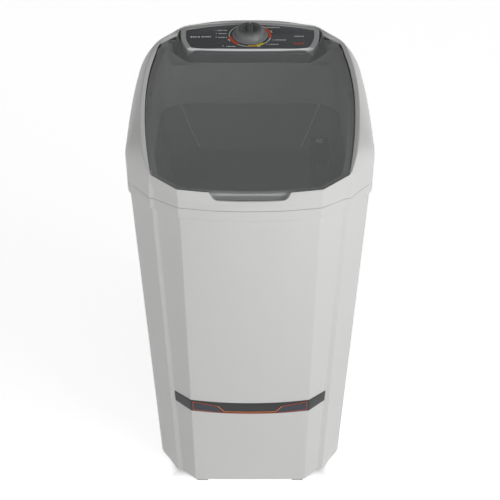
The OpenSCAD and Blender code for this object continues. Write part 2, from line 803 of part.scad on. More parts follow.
module console_screws() {
    color(steel)
    tilted() for (s = [-1, 1], c = console_post_at)
        translate([s * c[0], c[1], -console_h + tab_t]) screw(1.8, 10, 3.5, 2);
}

module console_plate() {
    color(dark)
    tilted() difference() {
        translate([0, 0, -plate_t - 0.3])
            linear_extrude(plate_t) polygon(inset(console_loop, plate_in + plate_gap));
        translate([0, shaft_at, -10]) cylinder(r = timer_shaft_r + 2, h = 20);
    }
}

timer_w = 52;
timer_h = 30;
module timer_body() {
    top = -plate_t - 0.3;
    color("#d8d4c8")
    tilted() translate([0, shaft_at, 0]) difference() {
        union() {
            translate([-timer_w / 2, -timer_w / 2, top - timer_h]) cube([timer_w, timer_w, timer_h]);
            translate([0, 0, top - timer_h - 3]) cylinder(r = 18, h = 4);
            // Row of contacts on the side
            for (k = [-2:2])
                translate([timer_w / 2 - 1, k * 9 - 3, top - timer_h + 6]) cube([7, 0.8, 6]);
        }
        translate([0, 0, top - 24]) cylinder(r = timer_shaft_r + shaft_fit, h = 30);
    }
}

knob_gap = 0.6;
module timer_shaft() {
    color(steel)
    tilted() translate([0, shaft_at, -22]) cylinder(r = timer_shaft_r, h = 22 + knob_gap + knob_h * 0.6);
}

module timer_knob() {
    color(dark)
    tilted() translate([0, shaft_at, knob_gap]) difference() {
        union() {
            rotate_extrude($fn = 64) polygon([
                [0, 0], [knob_r, 0], [knob_r, 2.5], [knob_r - 3, 5], [knob_r - 9, knob_h - 4],
                [knob_r - 11, knob_h - 1.2], [knob_r - 13, knob_h - 1.2],
                [knob_r - 15, knob_h - 4], [0, knob_h - 4]
            ]);
            // Grip across the hollow top
            intersection() {
                translate([-5, -knob_r + 14, knob_h - 5]) cube([10, 2 * knob_r - 28, 5]);
                cylinder(r = knob_r - 12, h = knob_h);
            }
        }
        translate([0, 0, -1]) cylinder(r = timer_shaft_r, h = 1 + knob_h * 0.6);
    }
}

// Point of the lid's top face; u runs across from -1 to 1 and t from the front to the back
lid_tail_y = rim_half[12][1];
function lid_back_y(u) = let (x = abs(u) * lid_tail_w / 2)
    x < tip_x ? tip_d : mix(tip_d, lid_tail_y, (x - tip_x) / (lid_tail_w / 2 - tip_x));
function lid_point(u, t) = let (
        y = mix(lid_front_y(u * lid_corner_w / 2), lid_back_y(u), t),
        edge_y = mix(-lid_corner_d, lid_tail_y, t),
        x = u * lid_half(edge_y)
    )
    [x, y, lid_z(y) + lid_crown * (1 - u * u) * sin(180 * min(1, 1.25 * t))];
lid_cols = [0, 0.2, 0.4, 0.57, face_w / lid_corner_w, 2 * tip_x / lid_tail_w, 0.9, 1];
lid_rows = 14;
// Lug of the lid, seen along the hinge
module lid_lug(x0) {
    translate([0, hinge_y, hinge_z]) pin_x(ear_r, x0, x0 + lug_w);
}

module lid() {
    u = concat([for (i = [len(lid_cols) - 1:-1:1]) -lid_cols[i]], lid_cols);
    n = len(u);
    m = lid_rows + 1;
    top = [for (j = [0:lid_rows], k = [0:n - 1]) lid_point(u[k], j / lid_rows)];
    low = [for (p = top) [p[0], p[1], p[2] - lid_t]];
    edge = concat(
        [for (k = [0:n - 1]) k],
        [for (j = [1:m - 1]) j * n + n - 1],
        [for (k = [n - 2:-1:0]) (m - 1) * n + k],
        [for (j = [m - 2:-1:1]) j * n]
    );
    e = len(edge);
    color(smoke, 0.8)
    difference() {
        union() {
            polyhedron(
                points = concat(top, low),
                faces = concat(
                    [
                        for (j = [0:m - 2], k = [0:n - 2]) let (a = j * n + k)
                        each [[a, a + n, a + n + 1], [a, a + n + 1, a + 1]]
                    ],
                    [
                        for (j = [0:m - 2], k = [0:n - 2]) let (a = m * n + j * n + k)
                        each [[a, a + n + 1, a + n], [a, a + 1, a + n + 1]]
                    ],
                    [
                        for (k = [0:e - 1]) let (a = edge[k], b = edge[(k + 1) % e])
                        each [[a, b, m * n + b], [a, m * n + b, m * n + a]]
                    ]
                ),
                convexity = 6
            );
            lid_lug(lug_x);
            lid_lug(-ear_x + hinge_side_gap);
        }
        // The lid passes round the console
        translate([0, 0, lid_front_h])
            linear_extrude(300) polygon([
                for (p = inset(console_loop, -lid_gap - 1))
                    [p[0], console_front + p[1] * cos(console_tilt) + (p[1] > 0.7 * console_len ? 60 : 0)]
            ]);
        translate([0, hinge_y, hinge_z]) {
            pin_x(pin_r + pin_fit, lug_x + 0.3, ear_x);
            pin_x(pin_r + pin_fit, -ear_x, -lug_x - 0.3);
        }
        // Notches for the ears of the cover, and room for the corners to swing up past the arms
        for (s = [-1, 1])
            translate([s > 0 ? lug_x + lug_w : -lug_x - lug_w - 40, hinge_y - lid_relief, hinge_z - 20])
                cube([40, 40, 60]);
        // The tips stay clear of the console's widening sides as they swing back
        translate([-lug_x + 5, hinge_y - 10, hinge_z - 20]) cube([2 * lug_x - 10, 60, 60]);
    }
}

module hinge_pins() {
    color(steel)
    translate([0, hinge_y, hinge_z]) {
        pin_x(pin_r, lug_x + 0.5, ear_x + ear_w);
        pin_x(pin_r, -ear_x - ear_w, -lug_x - 0.5);
    }
}

bumper_at = [[118, -lid_front_d + 12.5], [lid_w / 2 - 8, -10]];
bumper_r = 3;
seat_gap = 0.3;
// Plugs pushed through the ledge, each up to just under the lid
module bumper_plugs(grow_up) {
    for (s = [-1, 1], b = bumper_at)
        translate([s * b[0], b[1], 0])
            post(bumper_r, lid_z(b[1]) - ledge_drop - 7, lid_z(b[1] - bumper_r) - lid_t - seat_gap + grow_up);
}
module lid_bumpers() { color(black) bumper_plugs(0); }

// Levels of the tub's inside, from the mouth down to the floor
neck_h = 686;
tub_low_h = floor_h + 40;
tub_mid_x = floor_x + 10;
tub_neck_x = mouth_x - 16;
tub_front = 168;
tub_back = 100;
neck_front = mouth_front - 23;
neck_back = mouth_back - 21;
function tub_wall_x(z) = mix(tub_mid_x, tub_neck_x, (z - tub_low_h) / (neck_h - tub_low_h));
function tub_level(hw, front, back, cf, cr, grow) =
    both(well_half(hw + grow, front + grow, back + grow, cf + grow, cr + grow));
module tub() {
    tub_flange = inset(rim_loop, cabinet_t + 1);
    color("#b9bcbc")
    difference() {
        union() {
            capped_solid([
                at(tub_level(floor_x, tub_front, tub_back, 60, 56, tub_t), floor_h - floor_t),
                at(tub_level(tub_mid_x, tub_front + 12, tub_back + 12, 60, 56, tub_t), tub_low_h),
                at(tub_level(tub_neck_x, neck_front, neck_back, 70, 62, tub_t), neck_h),
                at(inset(mouth, -tub_t - 1), shelf_h),
                at(tub_flange, shelf_h),
                at(tub_flange, mouth_h),
                at(mouth, mouth_h),
                at(tub_level(tub_neck_x, neck_front, neck_back, 70, 62, 0), neck_h),
                at(tub_level(tub_mid_x, tub_front + 12, tub_back + 12, 60, 56, 0), tub_low_h),
                at(tub_level(floor_x + 6, tub_front + 7, tub_back + 7, 60, 56, 0), floor_h + 12),
                at(tub_level(floor_x - 4, tub_front - 4, tub_back - 4, 60, 52, 0), floor_h)
            ]);
            // Neck round the drive in the middle of the floor
            translate([0, axis_y, 0]) post(34, floor_h - eps, floor_h + 10);
            // Bosses under the floor for the drive bolts
            for (b = drive_bolt_at)
                translate([b[0], b[1], 0]) post(8, floor_h - floor_t - 8, floor_h - floor_t + eps);
        }
        translate([0, axis_y, 0]) post(housing_r + 0.2, floor_h - 40, floor_h + 30);
        // Seat of the grate and the drain hole under it
        translate(drain_at) {
            post(grate_r + 0.3, floor_h - 2, floor_h + 20);
            post(drain_bore_r, floor_h - 30, floor_h + 1);
        }
        for (b = drive_bolt_at)
            translate([b[0], b[1], 0]) post(2.6, floor_h - floor_t - 9, floor_h - floor_t + 3);
        for (c = cover_post_at, s = [-1, 1])
            translate([s * c[0], c[1], 0]) post(2.2, shelf_h - 1, mouth_h + 1);
        translate([loom_x, loom_y, 0]) post(loom_hole_r, shelf_h - 1, mouth_h + 1);
    }
}
housing_r = 22;
drain_at = [-110, 58, 0];
grate_r = 20;
drain_bore_r = 15;
bolt_circle_r = 58;
drive_bolt_at = [for (a = [45:90:315]) [bolt_circle_r * cos(a), axis_y + bolt_circle_r * sin(a)]];

module drain_grate() {
    color(black)
    translate(drain_at) difference() {
        post(grate_r, floor_h - 2, floor_h + 1);
        for (r = [7, 13], a = [0:45:315])
            rotate([0, 0, a + r * 3]) translate([r, 0, 0]) post(2, floor_h - 3, floor_h + 2);
    }
}

// Filter at the right wall of the tub
filter_y0 = -110;
filter_y1 = 40;
filter_x0 = 134;
filter_lo = 560;
filter_x1 = tub_wall_x(filter_lo) - 1.5;
filter_hi = 748;
filter_wall = 2.5;
filter_fit = 0.6;
module filter_housing() {
    color(dark)
    difference() {
        union() {
            translate([filter_x0, filter_y0, filter_lo])
                cube([filter_x1 - filter_x0, filter_y1 - filter_y0, filter_hi - filter_lo]);
            // Arms that hold it off the tub's wall
            for (y = [filter_y0 + 10, filter_y1 - 22], z = [filter_lo + 30, neck_h - 16])
                translate([filter_x1 - 1, y, z]) cube([tub_wall_x(z) - seat_gap - filter_x1 + 1, 12, 14]);
        }
        translate([filter_x0 + filter_wall, filter_y0 + filter_wall, filter_lo + filter_wall])
            cube([
                filter_x1 - filter_x0 - 2 * filter_wall, filter_y1 - filter_y0 - 2 * filter_wall, filter_hi
            ]);
        // Slots that let the water back into the tub
        for (i = [0:6], j = [0:3])
            translate([filter_x0 - 1, filter_y0 + 12 + i * 19, filter_lo + 12 + j * 40]) cube([5, 12, 28]);
    }
}

module lint_filter() {
    g = filter_wall + filter_fit;
    x0 = filter_x0 + g;
    x1 = filter_x1 - g;
    y0 = filter_y0 + g;
    y1 = filter_y1 - g;
    top = filter_hi + 4;
    color(black)
    difference() {
        union() {
            translate([x0, y0, filter_lo + filter_foot])
                cube([x1 - x0, y1 - y0, filter_hi - filter_lo - filter_foot]);
            translate([filter_x0 - 1, filter_y0 - 1, filter_hi + 0.3])
                cube([filter_x1 - filter_x0 + 2, filter_y1 - filter_y0 + 2, top - filter_hi - 0.3]);
            translate([x0, y0, filter_hi - 1]) cube([x1 - x0, y1 - y0, 2]);
        }
        translate([x0 + 3, y0 + 3, filter_lo + filter_foot + 3])
            cube([x1 - x0 - 6, y1 - y0 - 6, filter_hi - filter_lo - filter_foot - 10]);
        // Windows that the net covers
        for (j = [0, 1], k = [0, 1])
            translate([x0 - 5, y0 + 8 + k * (y1 - y0 - 12) / 2, filter_lo + filter_foot + 10 + j * 76])
                cube([x1 - x0 + 10, (y1 - y0 - 20) / 2, 66]);
        translate([knob_seat[0], knob_seat[1], 0]) post(3, filter_hi - 10, top + 1);
        // Opening that the water falls through
        translate([x0 + 5, filter_y0 + 12, filter_hi - 20]) cube([x1 - x0 - 10, 60, 40]);
    }
}
filter_foot = 20;
knob_seat = [(filter_x0 + filter_x1) / 2, filter_y1 - 22];

net_h = 150;
module filter_net() {
    g = filter_wall + filter_fit + 3.3;
    w = filter_x1 - filter_x0 - 2 * g;
    d = filter_y1 - filter_y0 - 2 * g;
    color("#e8e8e4")
    translate([filter_x0 + g, filter_y0 + g, filter_lo + filter_foot + 3.3])
    difference() {
        cube([w, d, net_h]);
        translate([1, 1, 1]) cube([w - 2, d - 2, net_h]);
    }
}

module filter_knob() {
    color("#f0f0ee")
    translate([knob_seat[0], knob_seat[1], 0]) {
        post(2.9, filter_hi - 6, filter_hi + 4.2);
        translate([0, 0, filter_hi + 4])
            rotate_extrude() polygon([[0, 0], [9, 0], [9, 4], [7.5, 6], [4, 6], [4, 5], [0, 5]]);
    }
}

// Drive under the tub
module agitator() {
    z = floor_h + 2;
    hub = 32;
    color("#e6e6e4")
    translate([0, axis_y, 0]) difference() {
        union() {
            rotate_extrude($fn = 96) polygon([
                [0, floor_h + 14], [36, floor_h + 14], [36, z + 6], [60, z + 3],
                [agitator_r - 8, z], [agitator_r, z + 5],
                [agitator_r, z + 9], [agitator_r - 8, z + 6], [62, z + 12], [30, z + 38], [24, z + 60],
                [14, z + 66], [0, z + 66]
            ]);
            for (a = [0:60:300])
                rotate([0, 0, a]) translate([20, 0, 0]) rotate([90, 0, 0])
                    linear_extrude(9, center = true)
                        polygon([
                            [0, z + 14], [38, z + 14], [agitator_r - 30, z + 4],
                            [agitator_r - 30, z + 12], [hub, z + 34], [8, z + 58], [0, z + 58]
                        ]);
        }
        post(shaft_r, floor_h - 10, z + 50);
        post(3, z, z + 80);
        post(9, z + 60, z + 80);
    }
}

module agitator_screw() {
    color(steel)
    translate([0, axis_y, 0]) {
        post(2.9, floor_h + 44, floor_h + 62);
        post(7, floor_h + 62, floor_h + 66);
    }
}

shaft_top = floor_h + 52;
shaft_low = belt_h - 22;
module agitator_shaft() {
    color(steel)
    translate([0, axis_y, 0]) difference() {
        post(shaft_r, shaft_low, shaft_top);
        post(2.9, shaft_top - 10, shaft_top + 1);
    }
}

housing_low = belt_h + 26;
bush_r = 13;
bush_l = 24;
housing_top = floor_h + 12;
module bearing_housing() {
    plate_z = floor_h - floor_t - 8;
    color("#8d9194")
    translate([0, axis_y, 0]) difference() {
        union() {
            post(housing_r, housing_low, housing_top);
            post(bolt_circle_r + 12, plate_z - 6, plate_z);
            for (a = [0:45:315])
                rotate([0, 0, a]) translate([housing_r - 2, -2, plate_z - 36])
                    rotate([90, 0, 0]) translate([0, 0, -4]) linear_extrude(4)
                        polygon([[0, 0], [26, 31], [0, 31]]);
        }
        post(shaft_r + 1, housing_low - 1, housing_top + 1);
        post(bush_r, housing_low - 1, housing_low + bush_l);
        post(bush_r, housing_top - 8 - bush_l, housing_top - 8);
        post(17, housing_top - 8, housing_top + 1);
        for (a = [45:90:315])
            rotate([0, 0, a]) translate([bolt_circle_r, 0, 0]) post(2.8, plate_z - 7, plate_z + 1);
    }
}

module shaft_bushes() {
    color("#b08a4a")
    translate([0, axis_y, 0]) for (z = [housing_low, housing_top - 8 - bush_l])
        difference() {
            post(bush_r, z, z + bush_l);
            post(shaft_r + shaft_fit, z - 1, z + bush_l + 1);
        }
}

module shaft_seal() {
    color(black)
    translate([0, axis_y, 0]) difference() {
        post(17, housing_top - 8, housing_top - 0.5);
        post(shaft_r + shaft_fit, housing_top - 9, housing_top + 1);
    }
}

plate_top = floor_h - floor_t - 8 - 6;
plate_sheet = 3;
motor_y = axis_y + motor_gap;
motor_mount_at = [
    for (sx = [-1, 1], sy = [-1, 1]) [sx * (motor_w / 2 + 6), motor_y + sy * (motor_w / 2 - 10)]
];
module drive_plate() {
    z = plate_top - plate_sheet;
    w = motor_w + 36;
    color(steel)
    difference() {
        union() {
            translate([-w / 2, axis_y - 75, z]) cube([w, motor_gap + 75 + motor_w / 2 + 4, plate_sheet]);
            for (s = [0, 1])
                translate([-w / 2 + s * (w - plate_sheet), axis_y - 75, z - 14])
                    cube([plate_sheet, motor_gap + 75 + motor_w / 2 + 4, 14 + eps]);
        }
        translate([0, axis_y, 0]) post(housing_r + 27, z - 1, z + plate_sheet + 1);
        translate([0, axis_y, 0]) for (a = [45:90:315])
            rotate([0, 0, a]) translate([bolt_circle_r, 0, 0]) post(2.8, z - 1, z + plate_sheet + 1);
        for (m = motor_mount_at) translate([m[0], m[1], 0]) post(3.2, z - 1, z + plate_sheet + 1);
        translate([0, motor_y, 0]) post(30, z - 1, z + plate_sheet + 1);
    }
}

module drive_bolts() {
    color(steel)
    for (b = drive_bolt_at)
        translate([b[0], b[1], plate_top - plate_sheet]) rotate([180, 0, 0]) screw(2.5, 19, 5, 3.5);
}

module pulley(work_r, hub_r, half, bore_r, arms) {
    groove = 5;
    difference() {
        rotate_extrude($fn = 96) difference() {
            translate([0, -half]) square([work_r + 4, 2 * half]);
            // Groove for the belt
            polygon([[work_r - groove, -3], [work_r - groove, 3], [work_r + 5, 7], [work_r + 5, -7]]);
            if (arms > 0) {
                translate([hub_r, 3]) square([work_r - groove - 6 - hub_r, half]);
                translate([hub_r, -half]) square([work_r - groove - 6 - hub_r, half - 3]);
            }
        }
        cylinder(r = bore_r, h = 4 * half, center = true);
        if (arms > 0)
            for (a = [0:360 / arms:359])
                rotate([0, 0, a]) translate([(work_r + hub_r) / 2 - 4, 0, -half])
                    cylinder(r = 15, h = 2 * half);
    }
}

module drive_pulley() {
    color("#4a4d50")
    translate([0, axis_y, belt_h]) pulley(big_pulley_r, 20, 9, shaft_r, 6);
}

module pulley_nut() {
    color(steel)
    translate([0, axis_y, 0]) difference() {
        translate([0, 0, shaft_low + 2]) cylinder(r = 13, h = belt_h - 9 - shaft_low - 2, $fn = 6);
        post(shaft_r, shaft_low - 1, belt_h);
    }
}

// Outline that runs round both pulleys at a distance from their grooves
module belt_outline(grow) {
    r1 = big_pulley_r - 4.5 + grow;
    r2 = small_pulley_r - 4.5 + grow;
    s = (r1 - r2) / motor_gap;
    c = sqrt(1 - s * s);
    translate([0, axis_y]) circle(r = r1, $fn = 96);
    translate([0, motor_y]) circle(r = r2);
    polygon([
        [r1 * c, axis_y + r1 * s], [r2 * c, motor_y + r2 * s],
        [-r2 * c, motor_y + r2 * s], [-r1 * c, axis_y + r1 * s]
    ]);
}
module drive_belt() {
    color(black)
    translate([0, 0, belt_h - 2.6]) linear_extrude(5.2) difference() {
        belt_outline(5.5);
        belt_outline(0);
    }
}

// Motor, from the top down
motor_top = plate_top - plate_sheet - 16;
stack_h = 40;
bell_h = 24;
stack_top = motor_top - bell_h;
stack_low = stack_top - stack_h;
bell_low_h = 18;
rotor_r = 27.5;
air_gap = 0.5;
motor_bush_r = 11;
module motor_outline(grow) {
    intersection() {
        square(motor_w + 2 * grow, center = true);
        circle(r = motor_w * 0.635 + grow);
    }
}

module motor_end_bells() {
    color("#a9adb0")
    translate([0, motor_y, 0]) {
        difference() {
            union() {
                translate([0, 0, stack_top]) linear_extrude(bell_h) motor_outline(-1);
                for (s = [-1, 1])
                    translate([-motor_w / 2 - 14, s * (motor_w / 2 - 10) - 8, motor_top - 6])
                        cube([motor_w + 28, 16, 6]);
            }
            translate([0, 0, stack_top - 1]) linear_extrude(bell_h - 3) motor_outline(-5);
            post(motor_bush_r, stack_top, motor_top + 1);
            for (a = [20:40:340])
                rotate([0, 0, a]) translate([34, 0, 0]) post(5, motor_top - 6, motor_top + 1);
            for (m = motor_mount_at)
                translate([m[0], m[1] - motor_y, 0]) post(2.6, motor_top - 8, motor_top + 1);
        }
        difference() {
            translate([0, 0, stack_low - bell_low_h]) linear_extrude(bell_low_h) motor_outline(-1);
            translate([0, 0, stack_low - bell_low_h + 3]) linear_extrude(bell_low_h) motor_outline(-5);
            post(motor_bush_r, stack_low - bell_low_h - 1, stack_low);
            for (a = [20:40:340])
                rotate([0, 0, a]) translate([34, 0, 0]) post(5, stack_low - bell_low_h - 1, stack_low - 10);
        }
    }
}

module motor_stack() {
    color("#6d7072")
    translate([0, motor_y, stack_low]) linear_extrude(stack_h) difference() {
        motor_outline(0);
        circle(r = rotor_r + air_gap);
    }
}

module motor_winding() {
    color("#b5651d")
    translate([0, motor_y, 0]) for (z = [stack_top, stack_low - 11])
        difference() {
            post(43, z, z + 11);
            post(31, z - 1, z + 12);
        }
}

module motor_rotor() {
    color("#85888a")
    translate([0, motor_y, 0]) difference() {
        post(rotor_r, stack_low, stack_top);
        post(motor_shaft_r, stack_low - 1, stack_top + 1);
    }
}

motor_shaft_top = plate_top - 4;
motor_shaft_low = belt_h - 14;
module motor_shaft() {
    color(steel)
    translate([0, motor_y, 0]) post(motor_shaft_r, motor_shaft_low, motor_shaft_top);
}

module motor_bushes() {
    color("#b08a4a")
    translate([0, motor_y, 0]) for (z = [motor_top - 14, stack_low - bell_low_h])
        difference() {
            post(motor_bush_r, z, z + 14);
            post(motor_shaft_r + shaft_fit, z - 1, z + 15);
        }
}

module motor_pulley() {
    color("#4a4d50")
    translate([0, motor_y, belt_h]) pulley(small_pulley_r, 10, 8, motor_shaft_r, 0);
}

module motor_fan() {
    z0 = motor_top + 2;
    color(black)
    translate([0, motor_y, 0]) difference() {
        union() {
            post(10, z0, z0 + 11);
            post(26, z0, z0 + 1.6);
            for (a = [0:45:315])
                rotate([0, 0, a]) translate([8, -0.8, z0]) cube([17, 1.6, 10]);
        }
        post(motor_shaft_r, z0 - 1, z0 + 12);
    }
}

module motor_mounts() {
    color(black)
    for (m = motor_mount_at) translate([m[0], m[1], 0]) difference() {
        post(8, motor_top, plate_top - plate_sheet);
        post(2.6, motor_top - 1, plate_top);
    }
}

module motor_bolts() {
    color(steel)
    for (m = motor_mount_at)
        translate([m[0], m[1], plate_top]) screw(2.5, plate_top - motor_top + 6, 5, 3);
}

// What stands on the base frame
shelf_base_h = foot_h + 2 * lip_t;
capacitor_at = [-184, -35];
capacitor_r = 19;
module capacitor() {
    color("#e2e2e0")
    translate([capacitor_at[0], capacitor_at[1], 0]) {
        post(capacitor_r, shelf_base_h + 2, shelf_base_h + 72);
        for (s = [-1, 1]) translate([s * 7 - 0.4, -3, shelf_base_h + 71]) cube([0.8, 6, 9]);
    }
}

module capacitor_clip() {
    color(dark)
    translate([capacitor_at[0], capacitor_at[1], 0]) difference() {
        post(capacitor_r + 2.5, shelf_base_h, shelf_base_h + 26);
        post(capacitor_r + 0.2, shelf_base_h + 2, shelf_base_h + 30);
    }
}

block_at = [80, 63];
block_size = [60, 16, 20];
module terminal_block() {
    color("#dcdad2")
    translate([block_at[0], block_at[1], shelf_base_h]) difference() {
        cube(block_size);
        for (k = [0:4]) translate([6 + 12 * k, block_size[1] / 2, 12]) cylinder(r = 3, h = 10);
    }
}

module cord_gland() {
    color(black)
    translate([gland_at[0], 0, gland_at[2]]) rotate([-90, 0, 0]) difference() {
        union() {
            post(gland_hole_r, back_d - cabinet_t - 1, back_d + 1);
            post(gland_hole_r + 4, back_d, back_d + 4);
            post(gland_hole_r + 3, back_d - cabinet_t - 4, back_d - cabinet_t);
            post(gland_hole_r, back_d, back_d + 12);
        }
        post(gland_r, back_d - 20, back_d + 20);
    }
}

// Smooth line through chosen points, with a number of steps between each two
function smooth_line(p, steps) = let (n = len(p)) [
    for (i = [0:n - 2], k = [0:steps - 1])
        let (
            a = p[max(i - 1, 0)], b = p[i], c = p[i + 1], d = p[min(i + 2, n - 1)], t = k / steps
        )
        (b * 2 + (c - a) * t + (a * 2 - b * 5 + c * 4 - d) * t * t + (b * 3 - a - c * 3 + d) * t * t * t) / 2,
    p[n - 1]
];
function tangents(p) = let (n = len(p))
    [for (i = [0:n - 1]) unit(p[min(i + 1, n - 1)] - p[max(i - 1, 0)])];
// Rings of a tube along a line, each turned as little as possible from the one before
function tube_rings(p, r, sides) = let (
        t = tangents(p),
        n = len(p),
        first = unit(cross(t[0], abs(t[0][0]) < 0.7 ? [1, 0, 0] : [0, 1, 0])),
        s = [for (i = 0, v = first; i < n; i = i + 1, v = i < n ? unit(v - t[i] * (v * t[i])) : v) v]
    )
    [
        for (i = [0:n - 1])
            [for (a = [0:360 / sides:359]) p[i] + (s[i] * cos(a) + cross(t[i], s[i]) * sin(a)) * r]
    ];

loom_r = 4;
loom_line = [
    [32.4, knob_y + 5, 911], [43, knob_y + 6, 910], [52, knob_y + 16, 900],
    [loom_x, loom_y, 882], [loom_x, loom_y, 850], [58, loom_y + 2, 780], [loom_x, loom_y, 724],
    [60, loom_y, 640], [70, loom_y - 5, 520], [80, loom_y - 7, 400], [92, loom_y - 10, 300],
    [100, loom_y - 25, 200], [104, 140, 110], [106, 88, 84], [110, 71, 60],
    [110, 71, 44], [110, 71, shelf_base_h + block_size[2] + 0.2]
];
module wiring_loom() {
    color(black)
    capped_solid(tube_rings(smooth_line(loom_line, 2), loom_r, 8));
}

motor_lead_line = [
    [98, 71, shelf_base_h + block_size[2]], [98, 71, 56], [94, 80, 110], [86, 100, 160], [78, 118, 190],
    [66, 125, 204], [58, 125, 205], [motor_w / 2 + 0.2, 125, 205]
];
module motor_lead() {
    color("#30343a")
    capped_solid(tube_rings(smooth_line(motor_lead_line, 2), 3, 8));
}

capacitor_lead_line = [
    [-177, -35, shelf_base_h + 80], [-176, -34, 102], [-162, -22, 108], [-142, 0, 88], [-130, 20, 50],
    [-118, 38, 20], [-80, 49, 15], [-20, 50, 14], [40, 50, 15], [70, 53, 24], [84, 60, 38], [86, 70, 40],
    [86, 71, shelf_base_h + block_size[2]]
];
module capacitor_lead() {
    color("#30343a")
    capped_solid(tube_rings(smooth_line(capacitor_lead_line, 2), 2.2, 8));
}

// Drain, from the grate to the outlet in the back
hose_t = 3;
elbow_h = floor_h - 28;
elbow_out = 36;
module drain_elbow() {
    top = floor_h - floor_t;
    color(dark)
    translate([drain_at[0], drain_at[1], 0]) difference() {
        union() {
            post(drain_bore_r + 3, elbow_h - 16, top);
            post(drain_bore_r + 11, top - 4, top);
            translate([0, 0, elbow_h]) rotate([-90, 0, 0]) cylinder(r = spigot_r, h = elbow_out);
        }
        post(drain_bore_r, elbow_h - 13, top + 1);
        translate([0, 0, elbow_h]) rotate([-90, 0, 0]) cylinder(r = spigot_r - 2.5, h = elbow_out + 1);
    }
}

hose_line = [
    for (d = [20, 32, 46]) [drain_at[0], drain_at[1] + d, elbow_h],
    [-111, 130, 264], [-113, back_d - 94, 238], [-115, back_d - 82, 200], [-117, back_d - 78, 160],
    [outlet_at[0], back_d - 73, outlet_at[2] + 31], [outlet_at[0], back_d - 60, outlet_at[2] + 8],
    for (d = [46, 30, 14]) [outlet_at[0], back_d - d, outlet_at[2]]
];
hose_sides = 12;
hose_bore_r = (spigot_r + 0.2) / cos(180 / hose_sides);
hose_out_r = hose_bore_r + hose_t;
module drain_hose() {
    p = smooth_line(hose_line, 2);
    out = tube_rings(p, hose_out_r, hose_sides);
    bore = tube_rings(p, hose_bore_r, hose_sides);
    color("#8a8d8f")
    ring_solid([each out, for (i = [len(bore) - 1:-1:0]) bore[i]]);
}

clip_w = 9;
module hose_clips() {
    r = hose_out_r + 0.1;
    color(steel)
    for (c = [[drain_at[0], drain_at[1] + 23, elbow_h], [outlet_at[0], outlet_at[1] - 27, outlet_at[2]]])
        translate(c) rotate([-90, 0, 0]) difference() {
            union() {
                cylinder(r = r + 1.2, h = clip_w);
                translate([r, -4, 0]) cube([7, 8, clip_w]);
            }
            translate([0, 0, -1]) cylinder(r = r, h = clip_w + 2);
        }
}

module drain_outlet() {
    color(dark)
    translate([outlet_at[0], 0, outlet_at[2]]) rotate([-90, 0, 0]) difference() {
        union() {
            post(spigot_r, back_d - 34, back_d + spigot_l);
            post(outlet_hole_r, back_d - cabinet_t - 1, back_d + 1);
            post(outlet_hole_r + 6, back_d, back_d + 3);
            post(outlet_hole_r + 5, back_d - cabinet_t - 4, back_d - cabinet_t);
        }
        post(spigot_r - 2.5, back_d - 50, back_d + spigot_l + 1);
    }
}

cabinet();
trim_strip();
rear_cover();
rear_cover_screws();
base_frame();
base_screws();
front_feet();
rear_feet();
top_cover();
cover_screws();
console_frame();
console_screws();
console_plate();
timer_body();
timer_shaft();
timer_knob();
lid();
lid_bumpers();
hinge_pins();
tub();
drain_grate();
filter_housing();
lint_filter();
filter_net();
filter_knob();
agitator();
agitator_screw();
agitator_shaft();
shaft_seal();
shaft_bushes();
bearing_housing();
drive_plate();
drive_bolts();
drive_pulley();
pulley_nut();
drive_belt();
motor_end_bells();
motor_stack();
motor_winding();
motor_rotor();
motor_shaft();
motor_bushes();
motor_pulley();
motor_fan();
motor_mounts();
motor_bolts();
capacitor();
capacitor_clip();
terminal_block();
cord_gland();
wiring_loom();
motor_lead();
capacitor_lead();
drain_elbow();
drain_hose();
hose_clips();
drain_outlet();
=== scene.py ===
"""The looks of a semi-automatic washing machine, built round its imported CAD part.

The file is laid out as an add-on: a sidebar panel lists one operator for each group of pieces. Lengths inside the
shape functions are millimetres, as in the part's source, and each mesh is stored in metres. X runs to the right,
Y to the back and Z up. The machine stands on z = 0.
"""
import math
from collections import namedtuple

import bmesh
import bpy
import numpy as np
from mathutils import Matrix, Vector


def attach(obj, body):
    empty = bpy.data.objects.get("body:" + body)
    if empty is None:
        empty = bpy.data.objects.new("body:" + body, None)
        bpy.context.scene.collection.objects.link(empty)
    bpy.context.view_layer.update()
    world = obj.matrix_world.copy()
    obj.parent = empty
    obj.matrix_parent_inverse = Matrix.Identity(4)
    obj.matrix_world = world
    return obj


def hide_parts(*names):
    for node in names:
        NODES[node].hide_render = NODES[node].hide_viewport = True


bl_info = {
    "name": "Washing machine looks",
    "version": (1, 0, 0),
    "blender": (4, 5, 0),
    "location": "3D View > Sidebar > Washer",
    "description": "Shapes and materials of a top-loading semi-automatic washing machine",
    "category": "Object",
}

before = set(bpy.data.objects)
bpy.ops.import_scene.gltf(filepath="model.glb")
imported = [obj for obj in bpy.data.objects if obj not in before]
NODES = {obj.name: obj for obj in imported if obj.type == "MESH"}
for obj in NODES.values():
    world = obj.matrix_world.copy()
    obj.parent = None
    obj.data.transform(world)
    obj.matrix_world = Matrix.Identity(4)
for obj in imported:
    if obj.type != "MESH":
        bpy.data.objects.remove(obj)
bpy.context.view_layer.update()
MM = 0.001
SIDES = ((-1, "left"), (1, "right"))


# Sizes that the pieces share, in millimetres

